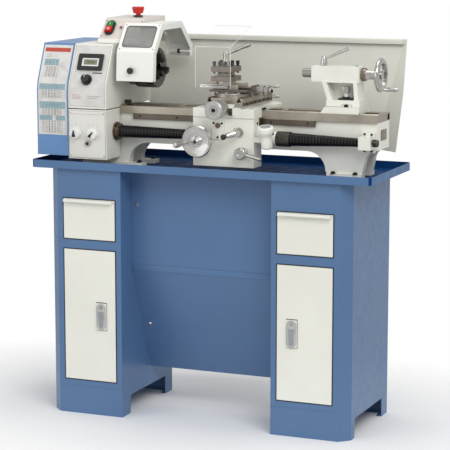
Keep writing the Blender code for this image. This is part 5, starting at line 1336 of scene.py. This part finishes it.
# ------------------------------------------------------------------ stage, light, camera
def stage_and_camera():
    floor_mesh = bpy.data.meshes.new("floor")
    bm = bmesh.new()
    bmesh.ops.create_grid(bm, x_segments=1, y_segments=1, size=4.0)
    bm.to_mesh(floor_mesh)
    bm.free()
    floor = bpy.data.objects.new("floor", floor_mesh)
    bpy.context.scene.collection.objects.link(floor)
    s = Shader("pale_floor")
    s.colour(s.mix(s.ramp(s.noise(0.6, 2.0), 0.0, 1.0), (0.9, 0.9, 0.9), (0.92, 0.92, 0.92)))
    s.set(Roughness=0.9, Specular_IOR_Level=0.1)
    length = s.node("ShaderNodeVectorMath", operation="LENGTH")
    s.link(s.mapped((1.0, 1.6, 1.0)), length.inputs[0])
    s.link(s.ramp(length.outputs["Value"], 1.0, 0.0, 0.7, 1.55), s.principled.inputs["Alpha"])
    floor_mesh.materials.append(s.material)

    world = bpy.data.worlds.new("studio")
    bpy.context.scene.world = world
    world.use_nodes = True
    nodes, links = world.node_tree.nodes, world.node_tree.links
    background = nodes["Background"]
    background.inputs["Color"].default_value = (1.0, 1.0, 1.0, 1.0)
    background.inputs["Strength"].default_value = 0.61
    bright_back = nodes.new("ShaderNodeBackground")
    bright_back.inputs["Color"].default_value = (1.0, 1.0, 1.0, 1.0)
    bright_back.inputs["Strength"].default_value = 1.0
    path = nodes.new("ShaderNodeLightPath")
    mix = nodes.new("ShaderNodeMixShader")
    links.new(path.outputs["Is Camera Ray"], mix.inputs[0])
    links.new(background.outputs[0], mix.inputs[1])
    links.new(bright_back.outputs[0], mix.inputs[2])
    links.new(mix.outputs[0], nodes["World Output"].inputs["Surface"])

    def area(name, place, aim, size, power):
        lamp = bpy.data.lights.new(name, "AREA")
        lamp.shape = "RECTANGLE"
        lamp.size, lamp.size_y = size
        lamp.energy = power
        made = bpy.data.objects.new(name, lamp)
        bpy.context.scene.collection.objects.link(made)
        made.location = Vector(place)
        direction = Vector(aim) - Vector(place)
        made.rotation_euler = direction.to_track_quat("-Z", "Y").to_euler()

    area("key", (2.4, -2.6, 3.4), (0.0, 0.1, 0.9), (2.2, 2.0), 80)
    area("fill", (-2.8, -3.0, 1.8), (0.0, 0.0, 0.7), (2.6, 2.6), 29)
    area("top", (0.3, 0.2, 3.6), (0.0, 0.1, 1.0), (2.4, 1.6), 23)

    camera = bpy.data.cameras.new("camera")
    camera.sensor_width = 36.0
    camera.lens = 149.5
    view = bpy.data.objects.new("camera", camera)
    bpy.context.scene.collection.objects.link(view)
    view.location = Vector((2.2506, -5.1524, 1.5636)) - SHIFT
    view.rotation_euler = (math.radians(90 - 9.41), 0.0, math.radians(22.65))
    bpy.context.scene.camera = view
    bpy.context.scene.view_settings.view_transform = "Standard"


stage_and_camera()
